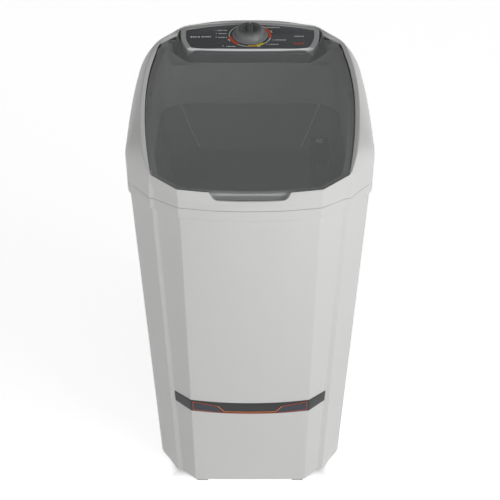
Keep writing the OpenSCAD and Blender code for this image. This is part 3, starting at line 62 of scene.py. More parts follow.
SEAM_H = 730                                # joint between the cabinet and the cover
RIM_BAND_H = 26                             # height of the band under that joint
WAIST_H = SEAM_H - RIM_BAND_H               # where the taper begins
FOOT_H = 5                                  # lower edge of the cabinet
LIP_T = 3                                   # turned-in lip of the cabinet's shelf
SHELF_H = SEAM_H - 8
MOUTH_H = SHELF_H + 4                       # lower end of the cover's collar
COVER_H = SEAM_H + 0.6                      # lower edge of the cover, a fine gap over the joint
WALL, COVER_T = 3.5, 3                      # thickness of the cabinet and of the cover
BODY_W, FRONT_D, REAR_D, FACE_W = 516, 271.5, 262, 284
BACK_D = REAR_D - 12                        # the back below the band
SERVICE = (-80, 80, 45, 275)                # opening in the back: from x, to x, from z, to z
STRIP_LO, STRIP_H = 207, 30                 # dark strip across the front
# Lid: height of its front edge, rise to its tips and arch; depth and widths; tail and tips; thickness, crown and gap
LID_FRONT_H, LID_RISE, LID_ARCH = 765, 171.7, 18.3
LID_FRONT_D, LID_W, LID_CORNER_W, LID_CORNER_D = 258, 432.8, 387, 218.5
LID_TAIL_W, LID_TAIL_D, TIP_D, TIP_X, LID_T, LID_CROWN, LID_GAP = 392, 157, 190, 160, 3, 8, 3
LID_WIDE_Y, LID_BOW = -15, 8.7              # where the lid is widest, and the bow of its front edge
HINGE_Y, HINGE_Z, PIN_R = 182, 928, 2.5
# Cover: bevel and crest round the opening, ledge for the lid, crease and scoop over the joint
BEVEL_W, CREST_RISE, LEDGE_DROP, LEDGE_W = 9, 4, 8, 12
CREASE_OVER, SCOOP_X, SCOOP_OVER, SCOOP_R = 14, 84, 19, 17
# Console: middle of its front edge and its tilt; widths, rear end, height and bow of its back
CONSOLE_Y, CONSOLE_Z, CONSOLE_TILT = 122, 919, math.radians(13)
CONSOLE_W, CONSOLE_BACK_W, CONSOLE_REAR, CONSOLE_H, CONSOLE_BOW = 272, 314, 248, 22, 26
KNOB_Y, KNOB_R, KNOB_H = 193, 40, 20
PLATE_T, PANEL_DROP = 2, 0.3                # control panel, and how far it lies under the console's frame
INK_SINK = 0.02                             # how far printed marks reach into the panel

# Sizes of a plan outline: half width; depth to the front and the rear; half width of the front face and its bow;
# outer end of the corner facet; the step beside it, outwards and back; where the side starts and ends; rear corner;
# half width of the back
Plan = namedtuple("Plan", "half_w front rear face bow facet_x facet_y step back side_x side_y end_x end_y "
                          "corner_x corner_y back_half")
REAR_CORNER, BASE_CORNER = 47, 36           # length of the rear corner along Y, above and at the foot
RIM = Plan(BODY_W / 2, FRONT_D, REAR_D, FACE_W / 2, 16.4, 192.7, 215.3, 9.4, 3.0, 253, 135.3, 247, 157, 214,
           REAR_D - REAR_CORNER, 150)
FX, FY = 1 - 9 / BODY_W, 1 - 7.5 / FRONT_D  # the waist's width and front depth as shares of the rim's
WAIST = Plan(RIM.half_w * FX, RIM.front * FY, BACK_D, RIM.face * FX, RIM.bow * FY, RIM.facet_x * FX, RIM.facet_y * FY,
             RIM.step, RIM.back, RIM.side_x * FX, RIM.side_y * FY, RIM.end_x * FX, RIM.end_y * FY,
             RIM.corner_x * FX, BACK_D - REAR_CORNER, RIM.back_half)
BASE = Plan(215.5, 240, BACK_D, 127.2, 1, 158.8, 207.5, 12, 1, 212.6, 135.3, 211.5, 137, 185.5,
            BACK_D - BASE_CORNER, 142)
SIDE_N = 7                                  # points along a side
RING_N = 32                                 # stations of an outline, which start at the middle of the front
LAST = 16                                   # station at the middle of the back
TIP = 13                                    # station at the lid's rear tip; past it the opening follows the console
# Stations at which the front turns a corner, with their rounding: face edge, outer end of the facet, end of the step
CORNERS = {2: 1.6, 3: 1.0, 4: 1.0, 28: 1.0, 29: 1.0, 30: 1.6}


# Plan outlines

def half_plan(v):
    """Half an outline as 17 points: front face, corner facet, step, side, rear corner and back.

    The side bows as two parabolas that meet where the outline is widest.
    """
    w, f, r, hf, bow, fx, fy, step, back, sx, sy, ex, ey, rx, ry, hb = v
    y = -sy + (sy + ey) * np.arange(SIDE_N) / (SIDE_N - 1)
    x = np.where(y < 0, w - (w - sx) * (y / sy) ** 2, w - (w - ex) * (y / ey) ** 2)
    front = [(0, -f), (hf * 0.55, -f + bow * 0.28), (hf, -f + bow), (fx, -fy), (fx + step, -fy + back)]
    front.append(((fx + step + sx) / 2, (-fy + back - sy) / 2))
    return np.vstack([front, np.stack([x, y], 1), [(rx, ry), (hb, r), (hb / 2, r), (0, r)]])


def both(half):
    """A half outline followed by its mirror image, as one closed loop."""
    other = half[-2:0:-1].copy()
    other[:, 0] *= -1
    return np.vstack([half, other])


def loop(v):
    return both(half_plan(v))


def outward(p):
    """Outward normal at each point of a closed loop, longer at a corner so that an offset keeps its width."""
    d = np.roll(p, -1, 0) - p
    d = d / np.linalg.norm(d, axis=1, keepdims=True)
    a = np.roll(d, 1, 0)
    n = np.stack([a[:, 1] + d[:, 1], -a[:, 0] - d[:, 0]], 1)
    n /= np.linalg.norm(n, axis=1, keepdims=True)
    return n / np.maximum(0.5, np.sqrt((1 + (a * d).sum(1)) / 2))[:, None]


def inset(p, d):
    return p - outward(p) * d


def lift(p, z):
    """A flat loop with a height, which is one number or one for each point."""
    return np.column_stack([p, np.broadcast_to(z, len(p))])


def rectangle(x0, x1, y0, y1):
    return np.array([[x0, y0], [x1, y0], [x1, y1], [x0, y1]], float)


def body_at(z):
    """The cabinet's plan at a height, or at an array of them, in a straight taper from its foot to its waist."""
    t = (z - FOOT_H) / (WAIST_H - FOOT_H)
    return Plan(*(low + (high - low) * t for low, high in zip(BASE, WAIST)))


def ramp(i, a, b):
    """Smooth step from 0 at a to 1 at b."""
    t = np.clip((i - a) / (b - a), 0, 1)
    return t * t * (3 - 2 * t)


# Surfaces

def refined(net, corner, steps, closed=True):
    """Rows of a coarse net made dense along their order.

    Between two rows a point follows the cubic whose slope at a row is the mean of the chords on both sides, weighted by
    the other chord's length. A row in corner keeps the slopes of its own chords and is rounded by a parabola that
    starts and ends its radius away; corner gives that radius, or an array with one for each point, where a negative one
    is smooth. steps is how many parts each stretch gets.
    """
    # Distance from a corner's row of the rows beside a smooth point, and the most of a stretch that a rounding takes
    beside_mm, most = 1.5, 0.4
    n, m = net.shape[:2]
    chord = np.roll(net, -1, 0) - net
    h = np.maximum(np.linalg.norm(chord, axis=2, keepdims=True), 1e-6)
    d = chord / h
    dp, hp = np.roll(d, 1, 0), np.roll(h, 1, 0)
    mean = (d * hp + dp * h) / (h + hp)
    radius = np.full((n, m, 1), -1.0)
    for j, r in corner.items():
        radius[j, :, 0] = r
    if not closed:
        radius[0] = radius[-1] = 0
    sharp = radius >= 0
    leave, arrive = np.where(sharp, d, mean), np.where(sharp, dp, mean)

    def on(j, t):
        k = (j + 1) % n
        a, b, ma, mb = net[j], net[k], leave[j] * h[j], arrive[k] * h[j]
        return a + t * ma + t * t * (3 * (b - a) - 2 * ma - mb) + t ** 3 * (2 * (a - b) + ma + mb)

    def part(j, q):
        return np.clip(np.where(sharp[j], radius[j], beside_mm) / h[q], 0.0, most)

    rows = []
    for j in range(n if closed else n - 1):
        k = (j + 1) % n
        lo, hi = np.zeros((m, 1)), np.ones((m, 1))
        if j in corner and (closed or j > 0):
            q = (j - 1) % n
            e, lo = part(j, q), part(j, j)
            a, b, c = on(q, 1 - e), on(j, lo), net[j]
            for t in (0.25, 0.5, 0.75):
                arc = a * (1 - t) ** 2 + 2 * c * t * (1 - t) + b * t * t
                free = on(q, 1 - e * (1 - 2 * t)) if t < 0.5 else on(j, lo * (2 * t - 1))
                rows.append(np.where(sharp[j], arc, free))
            rows.append(b)
        else:
            rows.append(net[j])
        turns = k in corner and (closed or k < n - 1)
        if turns:
            hi = 1 - part(k, j)
        count = steps.get(j, steps["all"]) if isinstance(steps, dict) else steps
        rows += [on(j, lo + (hi - lo) * s / count) for s in range(1, count)]
        if turns:
            rows.append(on(j, hi))
    if not closed:
        rows.append(net[-1])
    return np.array(rows)


def both_ways(net, level_corner, level_steps, corner, steps):
    """A coarse net of levels by stations made dense up the levels, and then along the stations."""
    return refined(refined(net, level_corner, level_steps).transpose(1, 0, 2), corner, steps)


def fine_line(points, corner, steps, closed=True):
    """One line of points made dense in the same way."""
    return refined(np.asarray(points, float)[:, None, :], corner, steps, closed)[:, 0]


def rounded_profile(points, radii):
    """A radius and height profile with its corners rounded."""
    return fine_line(points, dict(enumerate(radii)), 1, closed=False)


def grid_faces(n, m, around_n, around_m):
    """Quads of an n by m grid of points, which may close on itself either way."""
    i = np.arange(n if around_n else n - 1)[:, None]
    j = np.arange(m if around_m else m - 1)[None, :]
    a, b = i * m + j, i * m + (j + 1) % m
    c, d = ((i + 1) % n) * m + (j + 1) % m, ((i + 1) % n) * m + j
    return np.stack([a, b, c, d], -1).reshape(-1, 4)


def linked(name, mesh):
    obj = bpy.data.objects.new(name, mesh)
    bpy.context.scene.collection.objects.link(obj)
    return obj


def make(name, points, faces):
    """A mesh object from points in millimetres and faces, with its doubles merged and its normals outward."""
    mesh = bpy.data.meshes.new(name)
    mesh.from_pydata((np.asarray(points, float) * MM).tolist(), [], [list(f) for f in faces])
    work = bmesh.new()
    work.from_mesh(mesh)
    bmesh.ops.remove_doubles(work, verts=work.verts, dist=1e-6)
    bmesh.ops.dissolve_degenerate(work, edges=work.edges, dist=1e-7)
    bmesh.ops.recalc_face_normals(work, faces=work.faces)
    work.to_mesh(mesh)
    work.free()
    return linked(name, mesh)


def swept(name, rings, closed=False, place=None):
    """A tube through rings of points. It closes on itself, or has a face over each end. A function may place it."""
    n, m = rings.shape[:2]
    faces = grid_faces(n, m, closed, True).tolist()
    if not closed:
        faces += [list(range(m)), list(range((n - 1) * m, n * m))]
    points = rings.reshape(-1, 3)
    return make(name, place(points) if place else points, faces)


def turned(name, profile, steps, place):
    """A profile of radius and height turned round an axis in equal steps, then placed by a function of its points."""
    a = np.linspace(0, 2 * np.pi, steps, endpoint=False)
    r, z = np.asarray(profile, float).T
    rings = np.stack([np.outer(np.cos(a), r), np.outer(np.sin(a), r), np.broadcast_to(z, (steps, len(z)))], -1)
    return swept(name, rings, True, place)


def prism(name, outline, low, high, place=None):
    """Closed solid from a flat outline between two heights along Z, then placed by a function of its points."""
    n = len(outline)
    points = np.vstack([lift(outline, low), lift(outline, high)])
    faces = [list(range(n))[::-1], list(range(n, 2 * n))] + grid_faces(2, n, False, True).tolist()
    return make(name, place(points) if place else points, faces)


def baked(obj):
    """Applies an object's modifiers to its mesh."""
    bpy.context.view_layer.update()
    shape = obj.evaluated_get(bpy.context.evaluated_depsgraph_get())
    mesh = bpy.data.meshes.new_from_object(shape)
    obj.modifiers.clear()
    old, obj.data = obj.data, mesh
    bpy.data.meshes.remove(old)
    mesh.name = obj.name
    return obj


def cut(obj, *cutters):
    """Cuts closed meshes out of an object, and removes them."""
    for c in cutters:
        m = obj.modifiers.new("cut", "BOOLEAN")
        m.operation, m.solver, m.object = "DIFFERENCE", "EXACT", c
    baked(obj)
    for c in cutters:
        bpy.data.objects.remove(c)
    return obj


def bevelled(obj, width, segments=2, angle=35):
    """Rounds the edges that are sharper than an angle."""
    m = obj.modifiers.new("edges", "BEVEL")
    m.width, m.segments, m.limit_method, m.angle_limit = width * MM, segments, "ANGLE", math.radians(angle)
    m.harden_normals = False
    return baked(obj)


def dressed(obj, body, finish, node=None, smooth_deg=32):
    """Shades a mesh smooth up to an angle, gives it its finish, hangs it on its body's empty, and hides the CAD node
    that it stands for.
    """
    mesh = obj.data
    mesh.polygons.foreach_set("use_smooth", np.ones(len(mesh.polygons), bool))
    mesh.set_sharp_from_angle(angle=math.radians(smooth_deg))
    mesh.materials.clear()
    mesh.materials.append(MATERIALS[finish])
    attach(obj, body)
    if node:
        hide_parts(node)


def bevel_copy(node, name, width, body, finish):
    """A copy of a CAD node's mesh with its loose triangles merged and its edges rounded, which stands for the node."""
    mesh = NODES[node].data.copy()
    mesh.name = name
    work = bmesh.new()
    work.from_mesh(mesh)
    bmesh.ops.remove_doubles(work, verts=work.verts, dist=2e-6)
    bmesh.ops.dissolve_limit(
        work, angle_limit=math.radians(1.0), verts=work.verts, edges=work.edges, delimit={"NORMAL"}
    )
    work.to_mesh(mesh)
    work.free()
    for a in ("sharp_edge", "custom_normal"):
        if a in mesh.attributes:
            mesh.attributes.remove(mesh.attributes[a])
    dressed(bevelled(linked(name, mesh), width), body, finish, node)


# Materials

MATERIALS = {}
METAL, HARD = {"Metallic": 1.0}, {"IOR": 1.5}
# Each row: key, name, colour as hex or as a colour of the panel, roughness, change of tone either way and its size
# in mm, size and depth of the grain in mm, change of roughness either way, the shader's other sockets.
# A grain finer than 0.4 mm wouldn't show, so none is drawn finer. Metals and soft plastics keep the default IOR
FINISHES = (
    # Silver paint on moulded plastic: satin, with a faint orange peel and a slow drift of tone
    ("shell", "silver_painted_polypropylene", "shell", 0.42, 0.012, 140, 1.6, 0.012, 0.04, {"IOR": 1.4}),
    # Plastic in the scoop: duller, over a coarser moulded texture, and a darker grey than the shell's that paints the
    # shade in the recess
    ("scoop", "grey_textured_polypropylene", "scoop", 0.5, 0.03, 30, 1.2, 0.06, 0.06, {}),
    # Smoked polystyrene: clear, glossy and hard, so that the tub shows dimly through it
    ("lid", "smoked_clear_polystyrene", "lid", 0.12, 0.02, 200, 30.0, 0.002, 0.01, {"IOR": 1.5, "Alpha": 0.4}),
    # Film moulded onto the control panel: dark, smooth and softly glossy
    ("plate", "graphite_panel_film", "plate", 0.3, 0.05, 50, 1.0, 0.01, 0.05, HARD),
    # Paint under a thin clear coat: a tighter highlight than the shell's
    ("console", "grey_painted_abs", "console", 0.32, 0.02, 60, 1.2, 0.012, 0.05,
     {"IOR": 1.5, "Coat Weight": 0.15, "Coat Roughness": 0.2}),
    # Paler silver than the console's paint, a painted highlight: the lip shows as a bright line
    ("lip", "bright_silver_painted_abs", "lip", 0.3, 0.02, 60, 1.2, 0.01, 0.05, HARD),
    # Moulded ABS, charcoal and satin: a soft highlight on the dome
    ("knob", "charcoal_satin_abs", "knob", 0.38, 0.05, 20, 0.8, 0.02, 0.06, HARD),
    # The same in a paler grey: the skirt stands out from the body
    ("skirt", "grey_satin_abs", "skirt", 0.4, 0.04, 20, 0.8, 0.02, 0.06, HARD),
    # Film on the front strip: near black and smooth, with a soft sheen
    ("strip", "graphite_strip_film", "strip", 0.34, 0.06, 40, 1.0, 0.01, 0.06, HARD),
    # Moulded polypropylene: mid grey and evenly satin, with a fine grain
    ("tub", "grey_moulded_polypropylene", "tub", 0.42, 0.02, 90, 1.4, 0.03, 0.06, {}),
    # The same in white, slightly glossier
    # White also colours the mouth's pale ribs, which paint highlight lines
    ("white", "white_moulded_polypropylene", "#e2e2de", 0.4, 0.02, 50, 1.2, 0.02, 0.06, {}),
    # Thermoset: matt and slightly yellow, as old electrical parts are
    ("cream", "cream_thermoset", "#d8d3c5", 0.5, 0.03, 30, 1.0, 0.03, 0.06, {}),
    # Black and dark grey moulded plastics: satin, with a grain that softens the highlight
    ("black", "black_moulded_polypropylene", "#2b2d2f", 0.42, 0.06, 40, 1.0, 0.03, 0.07, {}),
    ("dark", "dark_grey_moulded_polypropylene", "#44474a", 0.4, 0.05, 50, 1.0, 0.03, 0.06, {}),
    # Grey ABS at the console's foot, darker than the console's paint to paint the shade under the lip, yet pale enough
    # that the gap's shadow under the lip stays quiet; close to matt
    ("console_foot", "grey_moulded_abs", "#6a6d6f", 0.45, 0.04, 50, 1.0, 0.03, 0.06, {}),
    # Rubbers: matt, with a dusty, uneven tone
    ("rubber", "black_moulded_rubber", "#242527", 0.75, 0.08, 25, 0.9, 0.06, 0.08, {}),
    ("foot", "grey_moulded_rubber", "#a3a4a3", 0.6, 0.04, 25, 0.9, 0.04, 0.06, {}),
    # The soft black rubber also colours the strips that paint the shadow in the gap along the lid
    ("gasket", "soft_black_rubber", "#1d1e20", 0.65, 0.08, 20, 0.7, 0.04, 0.08, {}),
    # Zinc plating on steel: bright, with small cloudy patches
    ("zinc", "zinc_plated_steel", "#b3b6b8", 0.34, 0.05, 6, 0.4, 0.01, 0.08, METAL),
    # Ground steel: the glossiest metal here, with fine level marks
    ("shaft", "ground_steel", "#a7aaad", 0.26, 0.03, 12, 0.5, 0.006, 0.08, METAL),
    # Black paint on sheet steel: semi-gloss over a slight orange peel
    ("painted_steel", "black_painted_sheet_steel", "#2f3133", 0.45, 0.06, 40, 1.5, 0.02, 0.06, {}),
    # Galvanised sheet: dull metal with a spangle about 9 mm across
    ("galvanised", "galvanised_sheet_steel", "#9da1a4", 0.4, 0.14, 9, 2.5, 0.01, 0.1, METAL),
    # Die-cast aluminium: a matt metal with a sandy grain
    ("cast", "die_cast_aluminium", "#a3a6a8", 0.5, 0.05, 20, 0.9, 0.05, 0.08, METAL),
    # Turned aluminium: rings from the lathe tool
    ("pulley", "turned_aluminium", "#8e9194", 0.36, 0.04, 20, 0.6, 0.01, 0.06, METAL),
    # Stacked electrical steel: dark, with a line at each sheet
    ("laminations", "stacked_electrical_steel", "#64676a", 0.5, 0.1, 15, 0.7, 0.02, 0.08, METAL),
    # Enamelled wire: warm and glossy, with a ridge for each turn
    ("copper", "enamelled_copper_wire", "#b0602a", 0.3, 0.08, 8, 0.6, 0.01, 0.06, METAL),
    # Sintered bronze: dull gold with fine pores
    ("bronze", "sintered_bronze", "#a77f3c", 0.48, 0.08, 8, 0.5, 0.03, 0.08, METAL),
    # Woven nylon: pale and matt, with threads both ways
    ("net", "woven_nylon_net", "#e4e4de", 0.7, 0.05, 20, 0.8, 0.05, 0.06, {}),
    # PVC sleeve: black and softly matt
    ("cable", "black_pvc_sleeve", "#26282b", 0.5, 0.06, 20, 0.8, 0.03, 0.06, {}),
    # Flexible PVC: grey, with the hose's ribs
    ("hose", "grey_flexible_pvc", "#8a8d90", 0.5, 0.05, 30, 1.0, 0.03, 0.06, {}),
    # Moulded can: pale and smooth
    ("can", "pale_capacitor_can", "#dcdcd8", 0.35, 0.03, 25, 0.8, 0.01, 0.05, {}),
    # Neoprene: black, matt and slightly rough
    ("belt", "black_neoprene_belt", "#1f2022", 0.7, 0.08, 12, 0.7, 0.08, 0.08, {}),
    # Printed inks: flat, with a little unevenness of cover
    *((key, "printed_" + key, key, 0.5, 0.05, 4, 0.5, 0.004, 0.05, {})
      for key in ("white_ink", "orange_ink", "amber_ink", "yellow_ink", "gold_ink", "field_ink")),
)
# Ripples of a finish: axis, spacing and depth in mm. Tool marks, sheets and turns of wire are finer than this on a
# real machine, and are drawn as coarse as they need to show
RIPPLES = {
    "pulley": [("Z", 1.2, 0.02)], "laminations": [("Z", 2.0, 0.15)], "copper": [("Z", 1.5, 0.4)],
    "net": [("X", 1.6, 0.3), ("Z", 1.6, 0.3)], "hose": [("Z", 4.0, 0.8)],
}


def linear(text):
    """An sRGB hex colour as linear numbers."""
    c = np.array([int(text.lstrip("#")[i:i + 2], 16) / 255 for i in (0, 2, 4)])
    return tuple(np.where(c <= 0.04045, c / 12.92, ((c + 0.055) / 1.055) ** 2.4)) + (1.0,)


def add(tree, kind, inputs=None, **settings):
    """Adds a node, sets its properties, and sets or links its inputs."""
    node = tree.nodes.new(kind)
    for key, value in settings.items():
        setattr(node, key, value)
    for key, value in (inputs or {}).items():
        if isinstance(value, bpy.types.NodeSocket):
            tree.links.new(value, node.inputs[key])
        else:
            node.inputs[key].default_value = value
    return node


def blank_tree(data):
    """The emptied node tree of a material or a world."""
    data.use_nodes = True
    data.node_tree.nodes.clear()
    return data.node_tree


def surface(name, colour, rough, vary, vary_mm, grain_mm, grain, spread, sockets):
    """A finish with a slow change of tone over vary_mm, a bump and a change of roughness at grain_mm.

    Tone is the colour times 1 minus or plus vary, from a noise. spread is how far the roughness moves either way.
    """
    mat = bpy.data.materials.new(name)
    tree = blank_tree(mat)
    place = add(tree, "ShaderNodeTexCoord").outputs["Object"]
    slow = add(tree, "ShaderNodeTexNoise", {"Vector": place, "Scale": 1000 / vary_mm, "Detail": 3.0})
    fine = add(tree, "ShaderNodeTexNoise", {"Vector": place, "Scale": 1000 / grain_mm, "Detail": 2.0})
    base = linear(colour)
    dark = tuple(c * (1 - vary) for c in base[:3]) + (1.0,)
    pale = tuple(min(1.0, c * (1 + vary)) for c in base[:3]) + (1.0,)
    tone = add(tree, "ShaderNodeMix", {0: slow.outputs["Fac"], 6: dark, 7: pale}, data_type="RGBA")
    gloss = add(tree, "ShaderNodeMapRange", {
        "Value": fine.outputs["Fac"], "From Min": 0.3, "From Max": 0.7,
        "To Min": max(0.02, rough - spread), "To Max": min(1.0, rough + spread)
    })
    bump = add(tree, "ShaderNodeBump", {
        "Height": fine.outputs["Fac"], "Strength": 0.5, "Distance": grain * MM
    })
    shader = add(tree, "ShaderNodeBsdfPrincipled", {
        "Base Color": tone.outputs[2], "Roughness": gloss.outputs["Result"], "Normal": bump.outputs["Normal"], **sockets
    })
    add(tree, "ShaderNodeOutputMaterial", {"Surface": shader.outputs["BSDF"]})
    return mat


def ribbed(mat, axis, pitch_mm, depth_mm):
    """Adds a regular ripple along an axis to the bump. At scale 1 the wave node's bands are a tenth of pi apart."""
    tree = mat.node_tree
    place, normal = tree.nodes["Texture Coordinate"].outputs["Object"], tree.nodes["Principled BSDF"].inputs["Normal"]
    wave = add(tree, "ShaderNodeTexWave", {"Vector": place, "Scale": 2 * math.pi / 20 * 1000 / pitch_mm},
               wave_type="BANDS", bands_direction=axis, wave_profile="SIN")
    ripple = add(tree, "ShaderNodeBump", {
        "Height": wave.outputs["Fac"], "Strength": 1.0, "Distance": depth_mm * MM,
        "Normal": normal.links[0].from_socket
    })
    tree.links.new(ripple.outputs["Normal"], normal)


def ground(mat, along, pitch_mm):
    """Stretches the fine grain along one axis, as a grinding belt leaves it."""
    tree = mat.node_tree
    fine = [n for n in tree.nodes if n.type == "TEX_NOISE"][1]
    scale = [1.0, 1.0, 1.0]
    scale["XYZ".index(along)] = 0.03
    place = tree.nodes["Texture Coordinate"].outputs["Object"]
    stretched = add(tree, "ShaderNodeMapping", {"Vector": place, "Scale": scale})
    fine.inputs["Scale"].default_value = 1000 / pitch_mm
    tree.links.new(stretched.outputs["Vector"], fine.inputs["Vector"])


def finishes(colours):
    """Makes every material once, with the colours that the panel shows."""
    for key, name, colour, *rest in FINISHES:
        MATERIALS[key] = surface(name, colour if colour[0] == "#" else getattr(colours, colour), *rest)
        for ripple in RIPPLES.get(key, ()):
            ribbed(MATERIALS[key], *ripple)
    ground(MATERIALS["shaft"], "X", 0.6)


class WasherColours(bpy.types.PropertyGroup):
    shell: bpy.props.StringProperty(name="Shell", description="Paint of the cabinet and cover", default="#c9c9c8")
    # Darker than the shell's paint: painted shade inside the scoop
    scoop: bpy.props.StringProperty(name="Scoop", description="Inside of the finger scoop", default="#a0a1a1")
    lid: bpy.props.StringProperty(name="Lid", description="Smoked plastic of the lid", default="#858787")
    plate: bpy.props.StringProperty(name="Control panel", description="Film on the control panel", default="#56595c")
    console: bpy.props.StringProperty(name="Console", description="Painted frame of the console", default="#b3b5b5")
    # Paler than the console's paint: a painted highlight along the lip
    lip: bpy.props.StringProperty(name="Console lip", description="Bright lip of the console", default="#e4e5e5")
    knob: bpy.props.StringProperty(name="Knob", description="Timer knob", default="#5c5d5e")
    skirt: bpy.props.StringProperty(name="Knob skirt", description="Paler ring under the knob", default="#787b7b")
    strip: bpy.props.StringProperty(name="Strip", description="Dark strip on the front", default="#202223")
    tub: bpy.props.StringProperty(name="Tub", description="Moulded tub", default="#a6a9a9")
    white_ink: bpy.props.StringProperty(name="White ink", description="Figures and thin lines", default="#f6f6f4")
    orange_ink: bpy.props.StringProperty(name="Orange ink", description="Red arcs and thin boxes", default="#e05c34")
    amber_ink: bpy.props.StringProperty(name="Amber ink", description="Line of the strip", default="#e47c2c")
    gold_ink: bpy.props.StringProperty(name="Gold ink", description="Gold arc of the dial", default="#d0a63c")
    field_ink: bpy.props.StringProperty(name="Field ink", description="Field in the strip's boxes", default="#2e333b")
    yellow_ink: bpy.props.StringProperty(name="Yellow ink", description="Yellow arc of the dial", default="#ecd62c")


class WasherSizes(bpy.types.PropertyGroup):
    lid_edge: bpy.props.FloatProperty(
        name="Lid edge", description="Rounding of the lid's edge", default=0.0009, unit="LENGTH")
    dial_r: bpy.props.FloatProperty(
        name="Dial radius", description="Radius of the ring round the knob", default=0.0485, unit="LENGTH")
    ink_h: bpy.props.FloatProperty(
        name="Ink height", description="Thickness of printed marks", default=0.00012, unit="LENGTH")
    key_light: bpy.props.FloatProperty(
        name="Key light", description="Power of the large lamp at the front right", default=27.0, unit="POWER")
    horizon_light: bpy.props.FloatProperty(
        name="Light at the horizon", description="Strength of the light that comes in level", default=2.2)
    right_share: bpy.props.FloatProperty(
        name="Share from the right", description="How much stronger the light is on the right than the left",
        default=0.24, subtype="FACTOR")
    rear_share: bpy.props.FloatProperty(
        name="Share from behind", description="Strength behind the machine, where the front has 1.3", default=0.32,
        subtype="FACTOR")


# Cabinet

class WASHER_OT_cabinet(bpy.types.Operator):
    """Tapered cabinet with crisp front facets, rim band, shelf and turned-in lip"""
    bl_idname = "washer.cabinet"
    bl_label = "Cabinet"

    def execute(self, context):
        shelf_in, floor_in, taper_h = 12, 34, 120
        top, mid, low = loop(RIM), loop(WAIST), loop(BASE)
        shelf, bend = inset(mid, WALL + shelf_in), WAIST_H - taper_h
        levels = [
            (low, FOOT_H), (loop(body_at(STRIP_LO)), STRIP_LO), (loop(body_at(bend)), bend), (mid, WAIST_H),
            (inset(top, 0.8), WAIST_H + 3), (top, WAIST_H + 6), (top, SEAM_H), (inset(top, WALL), SEAM_H),
            (inset(top, WALL), SHELF_H), (shelf, SHELF_H), (shelf, SHELF_H - LIP_T),
            (inset(top, WALL), SHELF_H - LIP_T), (inset(top, WALL), WAIST_H + 8), (inset(mid, WALL), WAIST_H),
            (inset(low, WALL), FOOT_H + LIP_T), (inset(low, floor_in), FOOT_H + LIP_T), (inset(low, floor_in), FOOT_H)
        ]
        radius = {0: 2.5, 1: 0, 2: 0, 3: 1.2, 4: 0.6, 5: 1.5, 6: 0.9, 7: 0.5, **dict.fromkeys(range(8, 17), 0)}
        net = both_ways(np.array([lift(p, z) for p, z in levels]), radius, {"all": 1, 0: 4, 1: 6, 2: 2},
                        CORNERS, {"all": 4, 0: 6, 1: 6, 30: 6, 31: 6})
        skin = swept("cabinet_skin", net, True)
        # Service opening in the back
        cut(skin, prism("hole", rectangle(*SERVICE), BACK_D - 8, BACK_D + 8, lambda p: p[:, [0, 2, 1]]))
        dressed(skin, "root", "shell", "cabinet")
        return {"FINISHED"}


# Cover

def lid_z(y):
    """Height of the lid's side line: a straight rise with a parabola on top."""
    q = (y + LID_FRONT_D) / (TIP_D + LID_FRONT_D)
    return LID_FRONT_H + LID_RISE * q + 4 * LID_ARCH * q * (1 - q)


def lid_half(y):
    """Half width of the lid, from two parabolas that meet where it is widest."""
    off = y - LID_WIDE_Y
    front = LID_W / 2 - (LID_W - LID_CORNER_W) / 2 * (off / (LID_CORNER_D + LID_WIDE_Y)) ** 2
    back = LID_W / 2 - (LID_W - LID_TAIL_W) / 2 * (off / (LID_TAIL_D - LID_WIDE_Y)) ** 2
    return np.where(y < LID_WIDE_Y, front, back)


def lid_front_y(x):
    """Front edge of the lid: a parabola across the front face, then a straight run to the corner."""
    h, x = FACE_W / 2, np.abs(x)
    run = -LID_FRONT_D + LID_BOW + (LID_FRONT_D - LID_BOW - LID_CORNER_D) * (x - h) / (LID_CORNER_W / 2 - h)
    return np.where(x <= h, -LID_FRONT_D + LID_BOW * (x / h) ** 2, run)


def console_z(y):
    """Height of the console's tilted top."""
    return CONSOLE_Z + (y - CONSOLE_Y) * math.tan(CONSOLE_TILT)


def console_back(x):
    """Rear edge of the console, bowed as a parabola."""
    return CONSOLE_REAR - CONSOLE_BOW * (2 * x / CONSOLE_BACK_W) ** 2


def opening():
    """Loop of the opening in the cover, with heights: the lid's edge, then the console's."""
    rim = half_plan(RIM)
    pts = [(x, lid_front_y(x), lid_z(lid_front_y(x))) for x in rim[:3, 0]]
    pts.append((LID_CORNER_W / 2, -LID_CORNER_D, lid_z(-LID_CORNER_D)))
    pts += [(lid_half(y), y, lid_z(y)) for y in rim[4:TIP, 1]]
    pts.append((TIP_X, TIP_D, lid_z(TIP_D)))
    for x, y in ((CONSOLE_BACK_W / 2 + 2, 224), (80, console_back(80) + 3.6), (0, CONSOLE_REAR + 2.4)):
        pts.append((x, y, console_z(y)))
    return both(np.array(pts, float))


def well_half(hw, front, back, cf, cr):
    """Half of a rounded rectangle with the 17 points of half_plan. cf and cr are its corners' radii."""
    a = np.radians([0, 30, 60, 90])
    first = np.stack([hw - cf + cf * np.sin(a), -front + cf - cf * np.cos(a)], 1)
    side = np.stack([np.full(5, hw), -front + cf + (back - cr + front - cf) * np.arange(1, 6) / 6], 1)
    b = a[::-1]
    second = np.stack([hw - cr + cr * np.sin(b), back - cr + cr * np.cos(b)], 1)
    return np.vstack([[(0, -front), ((hw - cf) / 2, -front)], first, side, second, [((hw - cr) / 2, back), (0, back)]])


MOUTH = both(well_half(196, 228, 141, 100, 70))
COLLAR = both(well_half(203, 238, 170, 100, 60))
CONSOLE_LIP = CONSOLE_Z - CONSOLE_H - 1.5
WELL_H = CONSOLE_LIP - 17


def collar_z(y):
    """Height of the collar's upper edge: a straight rise of 34 mm from the collar's front to its rear."""
    return SEAM_H + 18 + 34 * (y + 238) / 408


